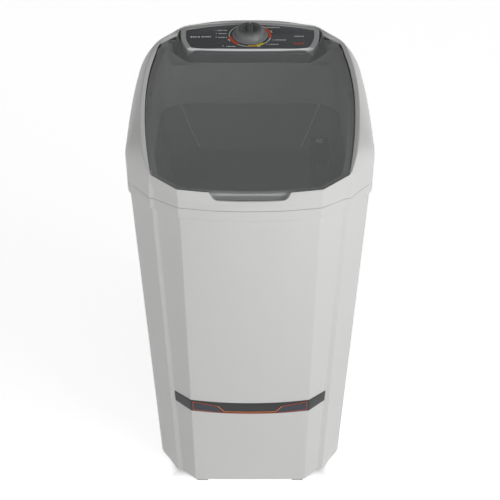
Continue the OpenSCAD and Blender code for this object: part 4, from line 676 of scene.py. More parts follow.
def cover_profiles():
    """Closed profile of the cover at each of the 32 stations: outer skin, crest, ledge, well, collar and inside.

    The skin rises from the rim to a crease and from there to the crest in a parabola. Smooth steps over the stations
    lift the crease from the front's low line to the arms and on to the back.
    """
    hole = opening()
    out = outward(hole[:, :2])
    rim, rim_out = loop(RIM), outward(loop(RIM))
    collar_out, mouth_out = inset(COLLAR, -COVER_T), inset(MOUTH, -COVER_T)
    rows = []
    for i in range(RING_N):
        h = i if i <= LAST else RING_N - i
        sx = 1 if i <= LAST else -1
        back, arm_end = h >= TIP, h == TIP - 1
        gap = 2 * LID_GAP if h == TIP else 0 if h > TIP else LID_GAP
        # The bevel inside the crest: its width and its rise from the opening's edge
        b = 1.5 + (BEVEL_W - 1.5) * ramp(h, 3, 5) - arm_end
        up = 0.5 + (CREST_RISE - 0.5) * ramp(h, 3, 6) - 2 * arm_end
        if h > TIP:
            b, up = (3, -3) if h == TIP + 1 else (BEVEL_W - 1, 1.5)
        crest = np.append(hole[i, :2] + out[i] * (gap + b), hole[i, 2] + up)
        edge = np.append(hole[i, :2] + out[i] * gap, hole[i, 2])
        # The sides bulge by 1.5 mm at the crease; its height starts low and ends high
        side = ramp(h, 4, 8) - ramp(h, TIP - 1, TIP + 1)
        crease_h = CREASE_OVER + (60 - CREASE_OVER) * ramp(h, 1, 7) + 70 * ramp(h, 8, 14)
        crease = np.append(rim[i] + rim_out[i] * 1.5 * side, SEAM_H + crease_h)
        k = 0.1 + 0.45 * ramp(h, 2, 7)
        ctrl = np.array([crease[0], crease[1], crease[2] + (crest[2] - crease[2]) * k])
        skin = [np.append(rim[i], COVER_H), crease]
        skin += [crease * (1 - t) ** 2 + ctrl * 2 * t * (1 - t) + crest * t * t for t in (0.25, 0.5, 0.75)]
        skin.append(crest)
        line = np.array(skin)

        def under(z):
            """A point inside the skin, one thickness in from its line at a height."""
            return [np.interp(z, line[:, 2], line[:, 0]) - rim_out[i, 0] * COVER_T,
                    np.interp(z, line[:, 2], line[:, 1]) - rim_out[i, 1] * COVER_T, z]

        drop = LEDGE_DROP + 4 if arm_end else LEDGE_DROP
        shelf_z = WELL_H if back else edge[2] - drop
        shelf = np.array([edge[0], edge[1], shelf_z])
        c, c_out = COLLAR[i], collar_out[i]
        if back:
            # Under the console the well reaches up to the console's foot
            x, y = (CONSOLE_W / 2 - 2, CONSOLE_Y + 3) if h == TIP else ((100, 50, 0)[h - TIP - 1], CONSOLE_Y + 1)
            inner = np.array([sx * x, y, CONSOLE_LIP], float)
            turn, thick = np.array([c[0], c[1] + 1, WELL_H]), COVER_T
            top = np.array([c[0], c[1] + 1, WELL_H - COVER_T])
            top_out = np.array([c_out[0], c_out[1] + 1, WELL_H - COVER_T])
        else:
            in_y = hole[i, 1] - out[i, 1] * LEDGE_W
            inner = np.array([hole[i, 0] - out[i, 0] * LEDGE_W, in_y, lid_z(in_y) - drop], float)
            turn, thick = (shelf + inner) / 2, 1.5
            top = inner - [0, 0, 4]
            top_out = np.append(inner[:2] + out[i] * COVER_T, inner[2] - COVER_T)
        low = shelf_z - COVER_T
        rows.append(skin + [
            edge, shelf, turn, inner, inner - [0, 0, thick], top, np.append(c, collar_z(c[1])),
            np.append(MOUTH[i], MOUTH_H), np.append(mouth_out[i], MOUTH_H),
            np.append(c_out, collar_z(c[1])), top_out, under(low), under(low + (crease[2] - low) * 0.35),
            under(low + (crease[2] - low) * 0.7), under(crease[2]), under(COVER_H)
        ])
    return np.array(rows, float)


def scoop_outline(grow, top):
    """Outline of the finger scoop seen from the front: a trough with rounded lower corners, open above."""
    z0, x0 = SEAM_H + SCOOP_OVER - grow, SCOOP_X - 21 + grow
    turn = math.acos(max(math.cos(math.radians(70)), 1 - (top - z0) / SCOOP_R))
    a = np.linspace(0, turn, 12)
    right = np.stack([x0 + SCOOP_R * np.sin(a), z0 + SCOOP_R - SCOOP_R * np.cos(a)], 1)
    if top > LID_FRONT_H:
        right = np.vstack([right, [SCOOP_X + 8 + grow, top]])
    return np.vstack([right, right[::-1] * [-1, 1]])


def facing_front(p):
    """Stands a flat shape up in X and Z with its depth along Y, so that its floor rises to the back by two in five."""
    return np.column_stack([p[:, 0], p[:, 2], p[:, 1] + 0.4 * np.maximum(0, p[:, 2] + FRONT_D - 8)])


class WASHER_OT_cover(bpy.types.Operator):
    """Moulded top cover: leaning fascia, raised arms, ledge, dry well and collar, and the finger scoop with its cup"""
    bl_idname = "washer.cover"
    bl_label = "Top cover"

    def execute(self, context):
        radius = {0: 0.9, 1: 1.6, 5: 2.2, 6: 0.8, 7: 0.8, 8: 0, 9: 1.2, 10: 0.3, 11: 0.3, 12: 4, 13: 1.2,
                  **dict.fromkeys(range(14, 22), 0)}
        net = both_ways(cover_profiles().transpose(1, 0, 2), radius,
                        {"all": 1, 1: 4, 2: 4, 3: 4, 4: 4, 11: 4, 12: 2}, CORNERS, 5)
        cover = swept("cover_shell", net, True)
        back = -LID_FRONT_D + 8
        cut(cover, prism("scoop", scoop_outline(0, LID_FRONT_H + 20), -FRONT_D - 10, back, facing_front))
        dressed(cover, "root", "shell", "top_cover")
        # Cup behind the scoop, closed under the lid, in the darker grey that paints the recess's shade
        wall, cup_top = 2.5, LID_FRONT_H - 9
        cup = prism("scoop_cup", scoop_outline(wall, cup_top), -FRONT_D + 12, back + wall, facing_front)
        cut(cup, prism("hollow", scoop_outline(0.02, cup_top), -FRONT_D, back, facing_front))
        dressed(cup, "root", "scoop")
        return {"FINISHED"}


class WASHER_OT_mouth(bpy.types.Operator):
    """Darker liner between the collar's edge and the tub's mouth, with a pale rib down each rear corner that paints a
    highlight line there
    """
    bl_idname = "washer.mouth"
    bl_label = "Mouth"

    def execute(self, context):
        rings = [lift(MOUTH, MOUTH_H + 0.4)]
        rings += [lift(inset(COLLAR, q), collar_z(COLLAR[:, 1]) - 0.8) for q in (-0.2, 0.7)]
        rings.append(lift(inset(MOUTH, 0.6), MOUTH_H + 0.4))
        liner = swept("mouth_liner", refined(np.array(rings).transpose(1, 0, 2), {}, 5), True)
        dressed(liner, "root", "tub")
        # Pale ribs down the rear corners: white ridges that paint the highlight lines along the tub's corners
        way = np.array([(160, 165.5, 780), (136, 139, 728), (117, 111, 698)])
        across, off = np.array([1.6, 0, 0]), np.array([0, -1.2, 0.6])
        ring = np.array([-across - off, across - off, across + off, off - across])
        for s, side in SIDES:
            rib = bevelled(swept("mouth_highlight_rib_" + side, (way * [s, 1, 1])[:, None] + ring), 0.4)
            dressed(rib, "root", "white")
        return {"FINISHED"}


class WASHER_OT_seals(bpy.types.Operator):
    """Dark strip on the wall of the ledge, along both sides of the lid, which paints the shadow in the gap round the
    lid's edge
    """
    bl_idname = "washer.seals"
    bl_label = "Lid seals"

    def execute(self, context):
        thick, sunk, top, foot, front_y, rear_y = 0.9, 0.1, 0.8, 7, -205, 165
        hole = opening()
        out = np.column_stack([outward(hole[:, :2]), np.zeros(RING_N)])
        corners = ((-sunk, top), (thick, top), (thick, foot), (-sunk, foot))
        net = refined(np.stack([hole + out * (LID_GAP - d) - [0, 0, z] for d, z in corners], 1), CORNERS, 5)
        x, y = net[:, 0, 0], net[:, 0, 1]
        for s, side in SIDES:
            # A dark strip in the soft black rubber's finish, painting the shadow of the gap between the lid's edge and
            # the arms
            shade_strip = swept("lid_seal_" + side, net[(x * s > 0) & (y > front_y) & (y < rear_y)])
            dressed(shade_strip, "root", "gasket")
        return {"FINISHED"}


class WASHER_OT_ears(bpy.types.Operator):
    """Ears that hold the hinge pins, each under a dark cap inside the circle that the lid's edge turns round"""
    bl_idname = "washer.ears"
    bl_label = "Hinge ears"

    def execute(self, context):
        ear_r, ear_w, cap_y, cap_z, cap_slope, cap_t = 5, 6.6, 170, 931.7, 0.23, 7
        a = np.linspace(0, np.pi, 17)
        top = np.stack([HINGE_Y + ear_r * np.cos(a), HINGE_Z + ear_r * np.sin(a)], 1)
        shape = np.vstack([[(HINGE_Y + ear_r, WELL_H - 1)], top, [(HINGE_Y - ear_r, WELL_H - 1)]])
        for s, side in SIDES:
            x0 = 165.4 if s > 0 else -172
            ear = prism("hinge_ear_" + side, shape, x0, x0 + ear_w, lambda p: p[:, [2, 0, 1]])
            dressed(bevelled(ear, 0.5), "root", "dark")
            plan = np.array([[165.9, cap_y], [181, cap_y], [165.9, 183.8]]) * [s, 1]
            cap = prism("hinge_cap_" + side, plan, -cap_t, 0, lambda p: np.column_stack(
                [p[:, 0], p[:, 1], cap_z + cap_slope * (p[:, 1] - cap_y) + p[:, 2]]))
            dressed(bevelled(cap, 0.5), "root", "dark")
        return {"FINISHED"}


# Lid

def lid_grid(nu, nt):
    """Top face of the lid on a grid: across by u from -1 to 1, back by t, bowed up in the middle by a sine."""
    u, t = np.meshgrid(nu, nt)
    x_back = np.abs(u) * LID_TAIL_W / 2
    slant = (LID_TAIL_D - TIP_D) * (x_back - TIP_X) / (LID_TAIL_W / 2 - TIP_X)
    back = np.where(x_back < TIP_X, TIP_D, TIP_D + slant)
    front = lid_front_y(u * LID_CORNER_W / 2)
    y = front + (back - front) * t
    x = u * lid_half(-LID_CORNER_D + (LID_TAIL_D + LID_CORNER_D) * t)
    z = lid_z(y) + LID_CROWN * (1 - u * u) * np.sin(np.pi * np.minimum(1, 1.25 * t))
    return np.stack([x, y, z], -1)


def console_half():
    """Half outline of the console in its own tilted plane: a bowed front, a parabola at the corner, a bowed back."""
    w, tilt, bow = CONSOLE_W / 2, math.cos(CONSOLE_TILT), 3.5
    side_y = 0.78 * (CONSOLE_REAR - CONSOLE_Y) / tilt
    pts = [(x * w, bow * x * x) for x in (0, 0.45, 0.9)]
    a, b, c = np.array([0.9 * w, bow * 0.81]), np.array([w + 2, 5]), np.array([w + 8, 24])
    pts += [tuple(a * (1 - t) ** 2 + b * 2 * t * (1 - t) + c * t * t) for t in (0.35, 0.7, 1)]
    pts += [(w + 18.5, 56), (CONSOLE_BACK_W / 2, side_y - 4)]
    for f in (0.96, 0.86, 0.6, 0.3, 0):
        x = f * CONSOLE_BACK_W / 2
        pts.append((x, (console_back(x) - CONSOLE_Y) / tilt))
    return np.array(pts)


CONSOLE_LOOP = both(console_half())
# Both ends of the short facet at each rear corner of the console, with their rounding
CONSOLE_CORNERS = {7: 3.0, 8: 3.0, 16: 3.0, 17: 3.0}


def tilted(p):
    """Points from the console's tilted plane, with its origin on the front edge, to the machine's frame."""
    c, s = math.cos(CONSOLE_TILT), math.sin(CONSOLE_TILT)
    p = np.asarray(p, float)
    return np.column_stack([p[:, 0], CONSOLE_Y + p[:, 1] * c - p[:, 2] * s, CONSOLE_Z + p[:, 1] * s + p[:, 2] * c])


class WASHER_OT_lid(bpy.types.Operator):
    """Arched smoked lid that passes round the console, with its hinge lugs"""
    bl_idname = "washer.lid"
    bl_label = "Lid"

    def execute(self, context):
        lug_x, lug_w, lug_r, relief = 158.5, 6.5, 5, 14
        knee, tip = FACE_W / LID_CORNER_W, 2 * TIP_X / LID_TAIL_W
        right = np.concatenate([np.linspace(0, knee, 25), np.linspace(knee, tip, 6)[1:], np.linspace(tip, 1, 9)[1:]])
        u, t = np.concatenate([-right[:0:-1], right]), np.linspace(0, 1, 61)
        top = lid_grid(u, t).reshape(-1, 3)
        n, m = len(t), len(u)
        grid = grid_faces(n, m, False, False)
        edge = np.concatenate([np.arange(m), np.arange(1, n) * m + m - 1, (n - 1) * m + np.arange(m - 2, -1, -1),
                               np.arange(n - 2, 0, -1) * m])
        nxt = np.roll(edge, -1)
        wall = np.stack([edge, nxt, nxt + n * m, edge + n * m], 1)
        faces = np.vstack([grid, grid[:, ::-1] + n * m, wall])
        lid = make("lid_panel", np.vstack([top, top - [0, 0, LID_T]]), faces.tolist())
        bevelled(lid, context.scene.washer_sizes.lid_edge / MM, 3, 50)
        # Notch for the console, then room for the ears and the arms at the hinge
        cos = math.cos(CONSOLE_TILT)
        ring = fine_line(inset(CONSOLE_LOOP, -LID_GAP - 1), CONSOLE_CORNERS, 4)
        far = 0.7 * (CONSOLE_REAR - CONSOLE_Y) / cos
        notch = np.column_stack([ring[:, 0], CONSOLE_Y + ring[:, 1] * cos + np.where(ring[:, 1] > far, 60, 0)])
        low, high = HINGE_Z - 20, HINGE_Z + 40
        between = rectangle(5 - lug_x, lug_x - 5, HINGE_Y - 10, HINGE_Y + 50)
        cutters = [prism("notch", notch, LID_FRONT_H, LID_FRONT_H + 300), prism("tips", between, low, high)]
        for s in (-1, 1):
            x = sorted((s * (lug_x + lug_w), s * (lug_x + lug_w + 40)))
            cutters.append(prism("relief", rectangle(*x, HINGE_Y - relief, HINGE_Y + 26), low, high))
        cut(lid, *cutters)
        dressed(lid, "lid", "lid", "lid", 40)
        bore = PIN_R + 0.05
        for s, side in SIDES:
            x0 = lug_x if s > 0 else -lug_x - lug_w
            lug = turned("lid_lug_" + side, [(bore, 0), (lug_r, 0), (lug_r, lug_w), (bore, lug_w)], 48,
                         lambda p: p[:, [2, 0, 1]] + [x0, HINGE_Y, HINGE_Z])
            dressed(bevelled(lug, 0.3), "lid", "lid")
        return {"FINISHED"}


# Console

def around(front, side, rear):
    """A size at each point of the console's outline: one value at the front, one at the sides, one at the rear."""
    y = CONSOLE_LOOP[:, 1]
    far = y.max()
    return front + (side - front) * ramp(y, 3, 16) + (rear - side) * ramp(y, 0.7 * far, 0.95 * far)


def console_ring(d, z, foot=False):
    """The console's outline, inset by d, at a height in its tilted frame. The foot stands under the upper edge."""
    p = CONSOLE_LOOP - ([0, CONSOLE_H * math.tan(CONSOLE_TILT)] if foot else [0, 0])
    return lift(p - outward(p) * np.reshape(d, (-1, 1)), z)


class WASHER_OT_console(bpy.types.Operator):
    """Sloping console: painted frame with a broad bevel, a lip painted paler as a highlight, a foot painted darker as
    shade, and the dark control panel
    """
    bl_idname = "washer.console"
    bl_label = "Console"

    def execute(self, context):
        wide = around(15, 11.5, 9.5)
        low, step, step_z = around(-7.3, -1.8, -1.8), around(9, 1.5, 1.5), around(-2.4, 0, 0)
        bed = -PLATE_T - PANEL_DROP
        levels = [
            console_ring(0, -CONSOLE_H, True), console_ring(0, low), console_ring(step, step_z),
            console_ring(wide, 0), console_ring(wide + 0.2, bed), console_ring(wide + 5, bed),
            console_ring(wide + 5, -PLATE_T - 3), console_ring(4, -PLATE_T - 6), console_ring(3, -CONSOLE_H, True)
        ]
        radius = {0: 0.5, 1: 0.8, 2: 0.6, 3: 0.4, **dict.fromkeys(range(4, 9), 0)}
        housing = swept("console_housing", both_ways(np.array(levels), radius, 2, CONSOLE_CORNERS, 6), True, tilted)
        dressed(housing, "root", "console", "console_frame")
        # Lip along the front, behind the lid's edge, in a paler silver that paints the highlight on the console's front
        # edge
        levels = [console_ring(step - 0.2, step_z + 0.25), console_ring(wide + 0.1, 0.3),
                  console_ring(wide + 0.1, -1), console_ring(step - 0.2, step_z - 1)]
        net = both_ways(np.array(levels), {0: 0.3, 1: 0.3, 2: 0, 3: 0}, 2, CONSOLE_CORNERS, 6)
        net = np.roll(net, len(net) // 2, axis=0)
        lip = swept("console_lip", net[np.max(net[:, :, 1], axis=1) < 24], False, tilted)
        dressed(lip, "root", "lip")
        # Plastic round the console's foot, under the lid, painted darker than the frame as the shade below the lip
        levels = [
            console_ring(-0.4, -CONSOLE_H, True), console_ring(-0.4, around(-6.9, -7.8, -7.8)),
            console_ring(around(9, -0.3, -0.3), around(-2.0, -7.7, -7.7)),
            console_ring(around(9.2, 1, 1), around(-3.2, -7.9, -7.9)), console_ring(1, -CONSOLE_H, True)
        ]
        skirt = swept("console_skirt", refined(np.array(levels).transpose(1, 0, 2), CONSOLE_CORNERS, 6), True, tilted)
        dressed(skirt, "root", "console_foot")
        # Control panel with the hole for the timer's shaft
        plate = prism("console_panel", fine_line(console_ring(wide + 0.35, 0), CONSOLE_CORNERS, 6)[:, :2],
                      bed, -PANEL_DROP, tilted)
        a = np.linspace(0, 2 * np.pi, 33)[:-1]
        cut(plate, prism("hole", 5 * np.stack([np.cos(a), np.sin(a)], 1) + [0, SHAFT_AT], -10, 10, tilted))
        dressed(bevelled(plate, 0.35), "root", "plate", "console_plate")
        return {"FINISHED"}


# Knob and dial

SHAFT_AT = (KNOB_Y - CONSOLE_Y) / math.cos(CONSOLE_TILT)
# Coloured arcs of the dial: name, first and last degree, ink
DIAL_ARCS = (("left", 186, 234, "orange_ink"), ("middle", 265, 289, "gold_ink"), ("front", 289, 312, "yellow_ink"),
             ("right", 347, 399, "orange_ink"))
DIAL_TICKS = (18, 203, 293)
# Where the marks stand on the panel, in its own plane: rows of dashes by first x, last x, y and height
DASH_ROWS = [
    (-74, -50, 94, 2.8), (-71, -51, 80, 2.8), (-71, -51, 64, 2.8), (-52, -31, 26, 2.4), (37, 68, 107, 3.0),
    (57, 82, 53, 2.6), (43, 64, 34.5, 2.8), (-134, -112, 66, 4.0), (-109, -86, 66.5, 4.0), (100, 122, 68.5, 3.2),
    (98, 122, 38, 4.6)
]
# Plain figures, with x and y
FIGURES = [(1, -79, 94), (2, -76, 80), (3, -76, 64), (4, -60, 28), (5, 34, 107), (6, 52, 53), (7, 38, 34.5)]


def dial_place(p):
    """Points round the knob's axis, to the machine's frame."""
    return tilted(np.asarray(p, float) + [0, SHAFT_AT, 0])


def knob_place(p):
    """The same, a fine gap over the control panel."""
    return dial_place(np.asarray(p) + [0, 0, 0.6])


class WASHER_OT_knob(bpy.types.Operator):
    """Timer knob: wide skirt, domed body, sunk top with a grip across it and a white pointer"""
    bl_idname = "washer.knob"
    bl_label = "Timer knob"

    def execute(self, context):
        r, h, turn_steps = KNOB_R, KNOB_H, 128
        body = rounded_profile(
            [(3, 1), (r - 4.2, 1), (r - 5, 3.4), (r - 6.5, 6), (r - 8.5, 11.5), (r - 12, h - 3.2), (r - 16, h - 1.0),
             (r - 19, h - 0.6), (r - 22, h - 2.6), (8, h - 5), (3, h - 5)], [0, 0.4, 1.0, 2, 4, 3, 3, 1.5, 2, 2, 0.2])
        dressed(turned("knob_body", body, turn_steps, knob_place), "knob", "knob", "timer_knob")
        skirt = rounded_profile([(3, 0), (r, 0), (r, 0.9), (r - 3.5, 2.6), (r - 5.5, 3.2), (3, 3.2)],
                                [0, 0.2, 0.6, 1.0, 0.3, 0])
        dressed(turned("knob_skirt", skirt, turn_steps, knob_place), "knob", "skirt")
        # Grip: a bar with a rounded back, narrowed to its ends by the root of 1 minus a sixth power
        length, half, z0 = r - 15, 6.5, h - 6
        t = np.linspace(-1, 1, 33)
        taper = np.sqrt(np.clip(1 - np.abs(t) ** 6, 0.02, 1))
        cross = fine_line([(-1, 0), (-0.82, 1), (0.82, 1), (1, 0)], {0: 0, 1: 0.3, 2: 0.3, 3: 0}, 2)
        rings = np.stack([np.outer(taper, cross[:, 0]) * half, np.repeat((t * length)[:, None], len(cross), 1),
                          z0 + np.outer(0.75 + 0.25 * taper, cross[:, 1]) * (h - z0)], -1)
        dressed(swept("knob_grip", rings, False, knob_place), "knob", "knob")
        mark = prism("knob_pointer", rectangle(-0.7, 0.7, length - 9, length - 2), h - 0.6, h - 0.02, knob_place)
        dressed(mark, "knob", "white_ink")
        return {"FINISHED"}


def printed(name, outline, height, ink, place):
    """A flat printed mark on the control panel, as a thin raised solid."""
    mark = prism(name, outline, -PANEL_DROP - INK_SINK, -PANEL_DROP + height, place)
    dressed(mark, "root", ink)


def arc(name, r0, r1, from_deg, to_deg, ink, height):
    """A printed arc round the dial, with a point for every 3 degrees or so."""
    a = np.radians(np.linspace(from_deg, to_deg, max(6, int(abs(to_deg - from_deg) / 3))))
    way = np.stack([np.cos(a), np.sin(a)], 1)
    printed(name, np.vstack([r1 * way, (r0 * way)[::-1]]), height, ink, dial_place)


def figure(name, text, size, x, y, ink, height):
    """A plain figure printed on the control panel, made a thin mesh in its tilted plane."""
    curve = bpy.data.curves.new(name, "FONT")
    curve.body, curve.size, curve.align_x, curve.align_y = text, size * MM, "CENTER", "CENTER"
    curve.extrude, curve.resolution_u = height / 2 * MM, 3
    temp = linked(name, curve)
    bpy.context.view_layer.update()
    mesh = bpy.data.meshes.new_from_object(temp.evaluated_get(bpy.context.evaluated_depsgraph_get()))
    bpy.data.objects.remove(temp)
    co = np.zeros(len(mesh.vertices) * 3)
    mesh.vertices.foreach_get("co", co)
    co = co.reshape(-1, 3) / MM + [x, y, -PANEL_DROP + height / 2 - INK_SINK / 2]
    faces = [list(p.vertices) for p in mesh.polygons]
    bpy.data.meshes.remove(mesh)
    dressed(make(name, tilted(co), faces), "root", ink)


class WASHER_OT_dial(bpy.types.Operator):
    """Printed ring round the knob with coloured arcs and ticks, rows of dashes and plain figures"""
    bl_idname = "washer.dial"
    bl_label = "Dial print"

    def execute(self, context):
        sizes = context.scene.washer_sizes
        r, h = sizes.dial_r / MM, sizes.ink_h / MM
        arc("dial_line", r - 2.2, r - 0.6, 40, 399.9, "white_ink", h * 0.6)
        for name, first, last, ink in DIAL_ARCS:
            arc("dial_arc_" + name, r - 6.5, r, first, last, ink, h)
        for k, deg in enumerate(DIAL_TICKS):
            arc(f"dial_tick_{k}", r + 1.6, r + 3.4, deg - 5, deg + 5, "white_ink", h)
        # Rows of plain dashes where the real panel has words: almost as wide as they are tall, every third one shorter
        for k, (x0, x1, y, tall) in enumerate(DASH_ROWS):
            count = max(2, int((x1 - x0) / (tall * 1.15)))
            ink = "orange_ink" if k == len(DASH_ROWS) - 1 else "white_ink"
            for j in range(count):
                x = x0 + (x1 - x0) * j / count
                w = (x1 - x0) / count * (0.74 if (j + k) % 3 else 0.5)
                printed(f"panel_dash_{k}_{j}", rectangle(x, x + w, y - tall / 2, y + tall / 2), h, ink, tilted)
        for n, x, y in FIGURES:
            figure(f"panel_figure_{n}", str(n), 6.5, x, y, "white_ink", h)
        return {"FINISHED"}


# Strip

BOX = [(-71.5, 19.6), (-127, 27), (-127, 4.2), (-60, 1.4), (0, 1.0)]
# Lines of the strip: name, x and height over the strip's lower edge at each turn, half width, ink
STRIP_LINES = (
    ("line", [(-71.5, 19.6), (-57.8, 5.4), (57.8, 5.4), (71.5, 19.6)], 0.75, "amber_ink"),
    ("box_left", BOX, 0.4, "orange_ink"), ("box_right", [(-x, h) for x, h in BOX], 0.4, "orange_ink")
)


def front_run(z, out):
    """Dense line across the front of the body at a height, from corner facet to corner facet, set out from the skin.

    The line rises by 1 mm in the middle and 6 mm at the front face's edges, and at its ends by 8.5 mm at the strip's
    foot and 5.5 mm at its top, so the strip is 3 mm narrower there.
    """
    p = inset(loop(body_at(z)), -out)
    p = lift(p[np.arange(-3, 4) % RING_N], z)
    end = 8.5 - 3 * (z - STRIP_LO) / STRIP_H
    p[:, 2] += (end, 6, 2.5, 1, 2.5, 6, end)
    return fine_line(p, {1: 1.5, 5: 1.5}, {"all": 10, 0: 4, 5: 4}, closed=False)


def strip_point(p, out):
    """Points on the strip from their x and their height over its lower edge, set out from the front's skin.

    The front face bows back, and the strip rises, as parabolas of x.
    """
    x, h = p.T
    v = body_at(STRIP_LO + h)
    q = x / v.face
    return np.column_stack([x, -v.front + v.bow * 0.92 * q * q - out, STRIP_LO + h + 1 + 5 * q * q])


class WASHER_OT_strip(bpy.types.Operator):
    """Dark strip across the front with rounded edges, its amber line, and a red line round a field at each side"""
    bl_idname = "washer.strip"
    bl_label = "Dark strip"

    def execute(self, context):
        # Share of the strip's height, and how far its surface stands out there
        t = np.array([0, 0, 0.02, 0.08, 0.3, 0.5, 0.7, 0.92, 0.98, 1, 1])
        out = np.array([0.2, 1.2, 1.5, 1.65, 1.7, 1.7, 1.7, 1.65, 1.5, 1.2, 0.2])
        rows = np.array([front_run(STRIP_LO + q * STRIP_H, o) for q, o in zip(t, out)])
        dressed(swept("trim_band", rows.transpose(1, 0, 2)), "root", "strip", "trim_strip")
        low_out, line_out, field_out = 1.5, 1.85, 1.76
        for name, run, half, ink in STRIP_LINES:
            run = fine_line(run, {k: 2.0 for k in range(1, len(run) - 1)}, 8, closed=False)
            way = np.gradient(run, axis=0)
            side = np.stack([-way[:, 1], way[:, 0]], 1) / np.linalg.norm(way, axis=1, keepdims=True) * half
            rings = [strip_point(run + side * q, o)
                     for q, o in ((1, low_out), (-1, low_out), (-1, line_out), (1, line_out))]
            dressed(swept("trim_" + name, np.stack(rings, 1)), "root", ink)
        # Field inside each box, clear of its line
        x = np.linspace(63, 126.4, 14)
        low = np.interp(x, [60, 127], [1.6, 4.2]) + 0.5
        top = np.interp(x, [57.8, 71.5, 127], [4.8, 19.6, 27]) - 1.2
        for s, side in SIDES:
            rings = [strip_point(np.column_stack([s * x, h]), o)
                     for h, o in ((low, low_out), (low, field_out), (top, field_out), (top, low_out))]
            dressed(swept("trim_field_" + side, np.stack(rings, 1)), "root", "field_ink")
        return {"FINISHED"}


# Pieces that keep their CAD shape, with rounded edges or just their finish

ROUNDED = [
    # node, new name, rounding in mm, body, material
    ("front_feet", "front_foot_pads", 0.8, "root", "foot"),
    ("rear_feet", "rear_foot_pads", 0.8, "root", "foot"),
    ("rear_cover", "rear_panel", 0.5, "root", "dark"),
    ("filter_housing", "filter_case", 0.7, "root", "black"),
    ("lint_filter", "filter_frame", 0.7, "filter", "black"),
    ("filter_knob", "filter_button", 0.5, "filter", "white"),
    ("base_frame", "base_pan", 0.5, "root", "painted_steel"),
    ("drive_plate", "drive_bracket", 0.5, "root", "galvanised"),
    ("terminal_block", "terminal_strip", 0.4, "root", "cream"),
    ("drain_outlet", "drain_spigot", 0.4, "root", "dark"),
    ("cord_gland", "cord_grommet", 0.4, "root", "rubber"),
]
FINISHED = {
    "rear_cover_screws": "zinc", "base_screws": "zinc", "cover_screws": "zinc", "console_screws": "zinc",
    "timer_body": "cream", "timer_shaft": "shaft", "lid_bumpers": "tub", "hinge_pins": "shaft", "tub": "tub",
    "drain_grate": "black", "filter_net": "net", "agitator": "white", "agitator_screw": "zinc",
    "agitator_shaft": "shaft", "shaft_seal": "gasket", "shaft_bushes": "bronze", "bearing_housing": "cast",
    "drive_bolts": "zinc", "drive_pulley": "pulley", "pulley_nut": "zinc", "drive_belt": "belt",
    "motor_end_bells": "cast", "motor_stack": "laminations", "motor_winding": "copper", "motor_rotor": "laminations",
    "motor_shaft": "shaft", "motor_bushes": "bronze", "motor_pulley": "pulley", "motor_fan": "black",
    "motor_mounts": "gasket", "motor_bolts": "zinc", "capacitor": "can", "capacitor_clip": "dark",
    "wiring_loom": "cable", "motor_lead": "cable", "capacitor_lead": "cable", "drain_elbow": "dark",
    "drain_hose": "hose", "hose_clips": "zinc"
}


class WASHER_OT_fittings(bpy.types.Operator):
    """Feet, rear panel, filter, frame, motor, drive and pipes: rounded edges and finishes"""
    bl_idname = "washer.fittings"
    bl_label = "Fittings"

    def execute(self, context):
        for row in ROUNDED:
            bevel_copy(*row)
        for node, finish in FINISHED.items():
            mats = NODES[node].data.materials
            mats.clear()
            mats.append(MATERIALS[finish])
        return {"FINISHED"}


# Stage

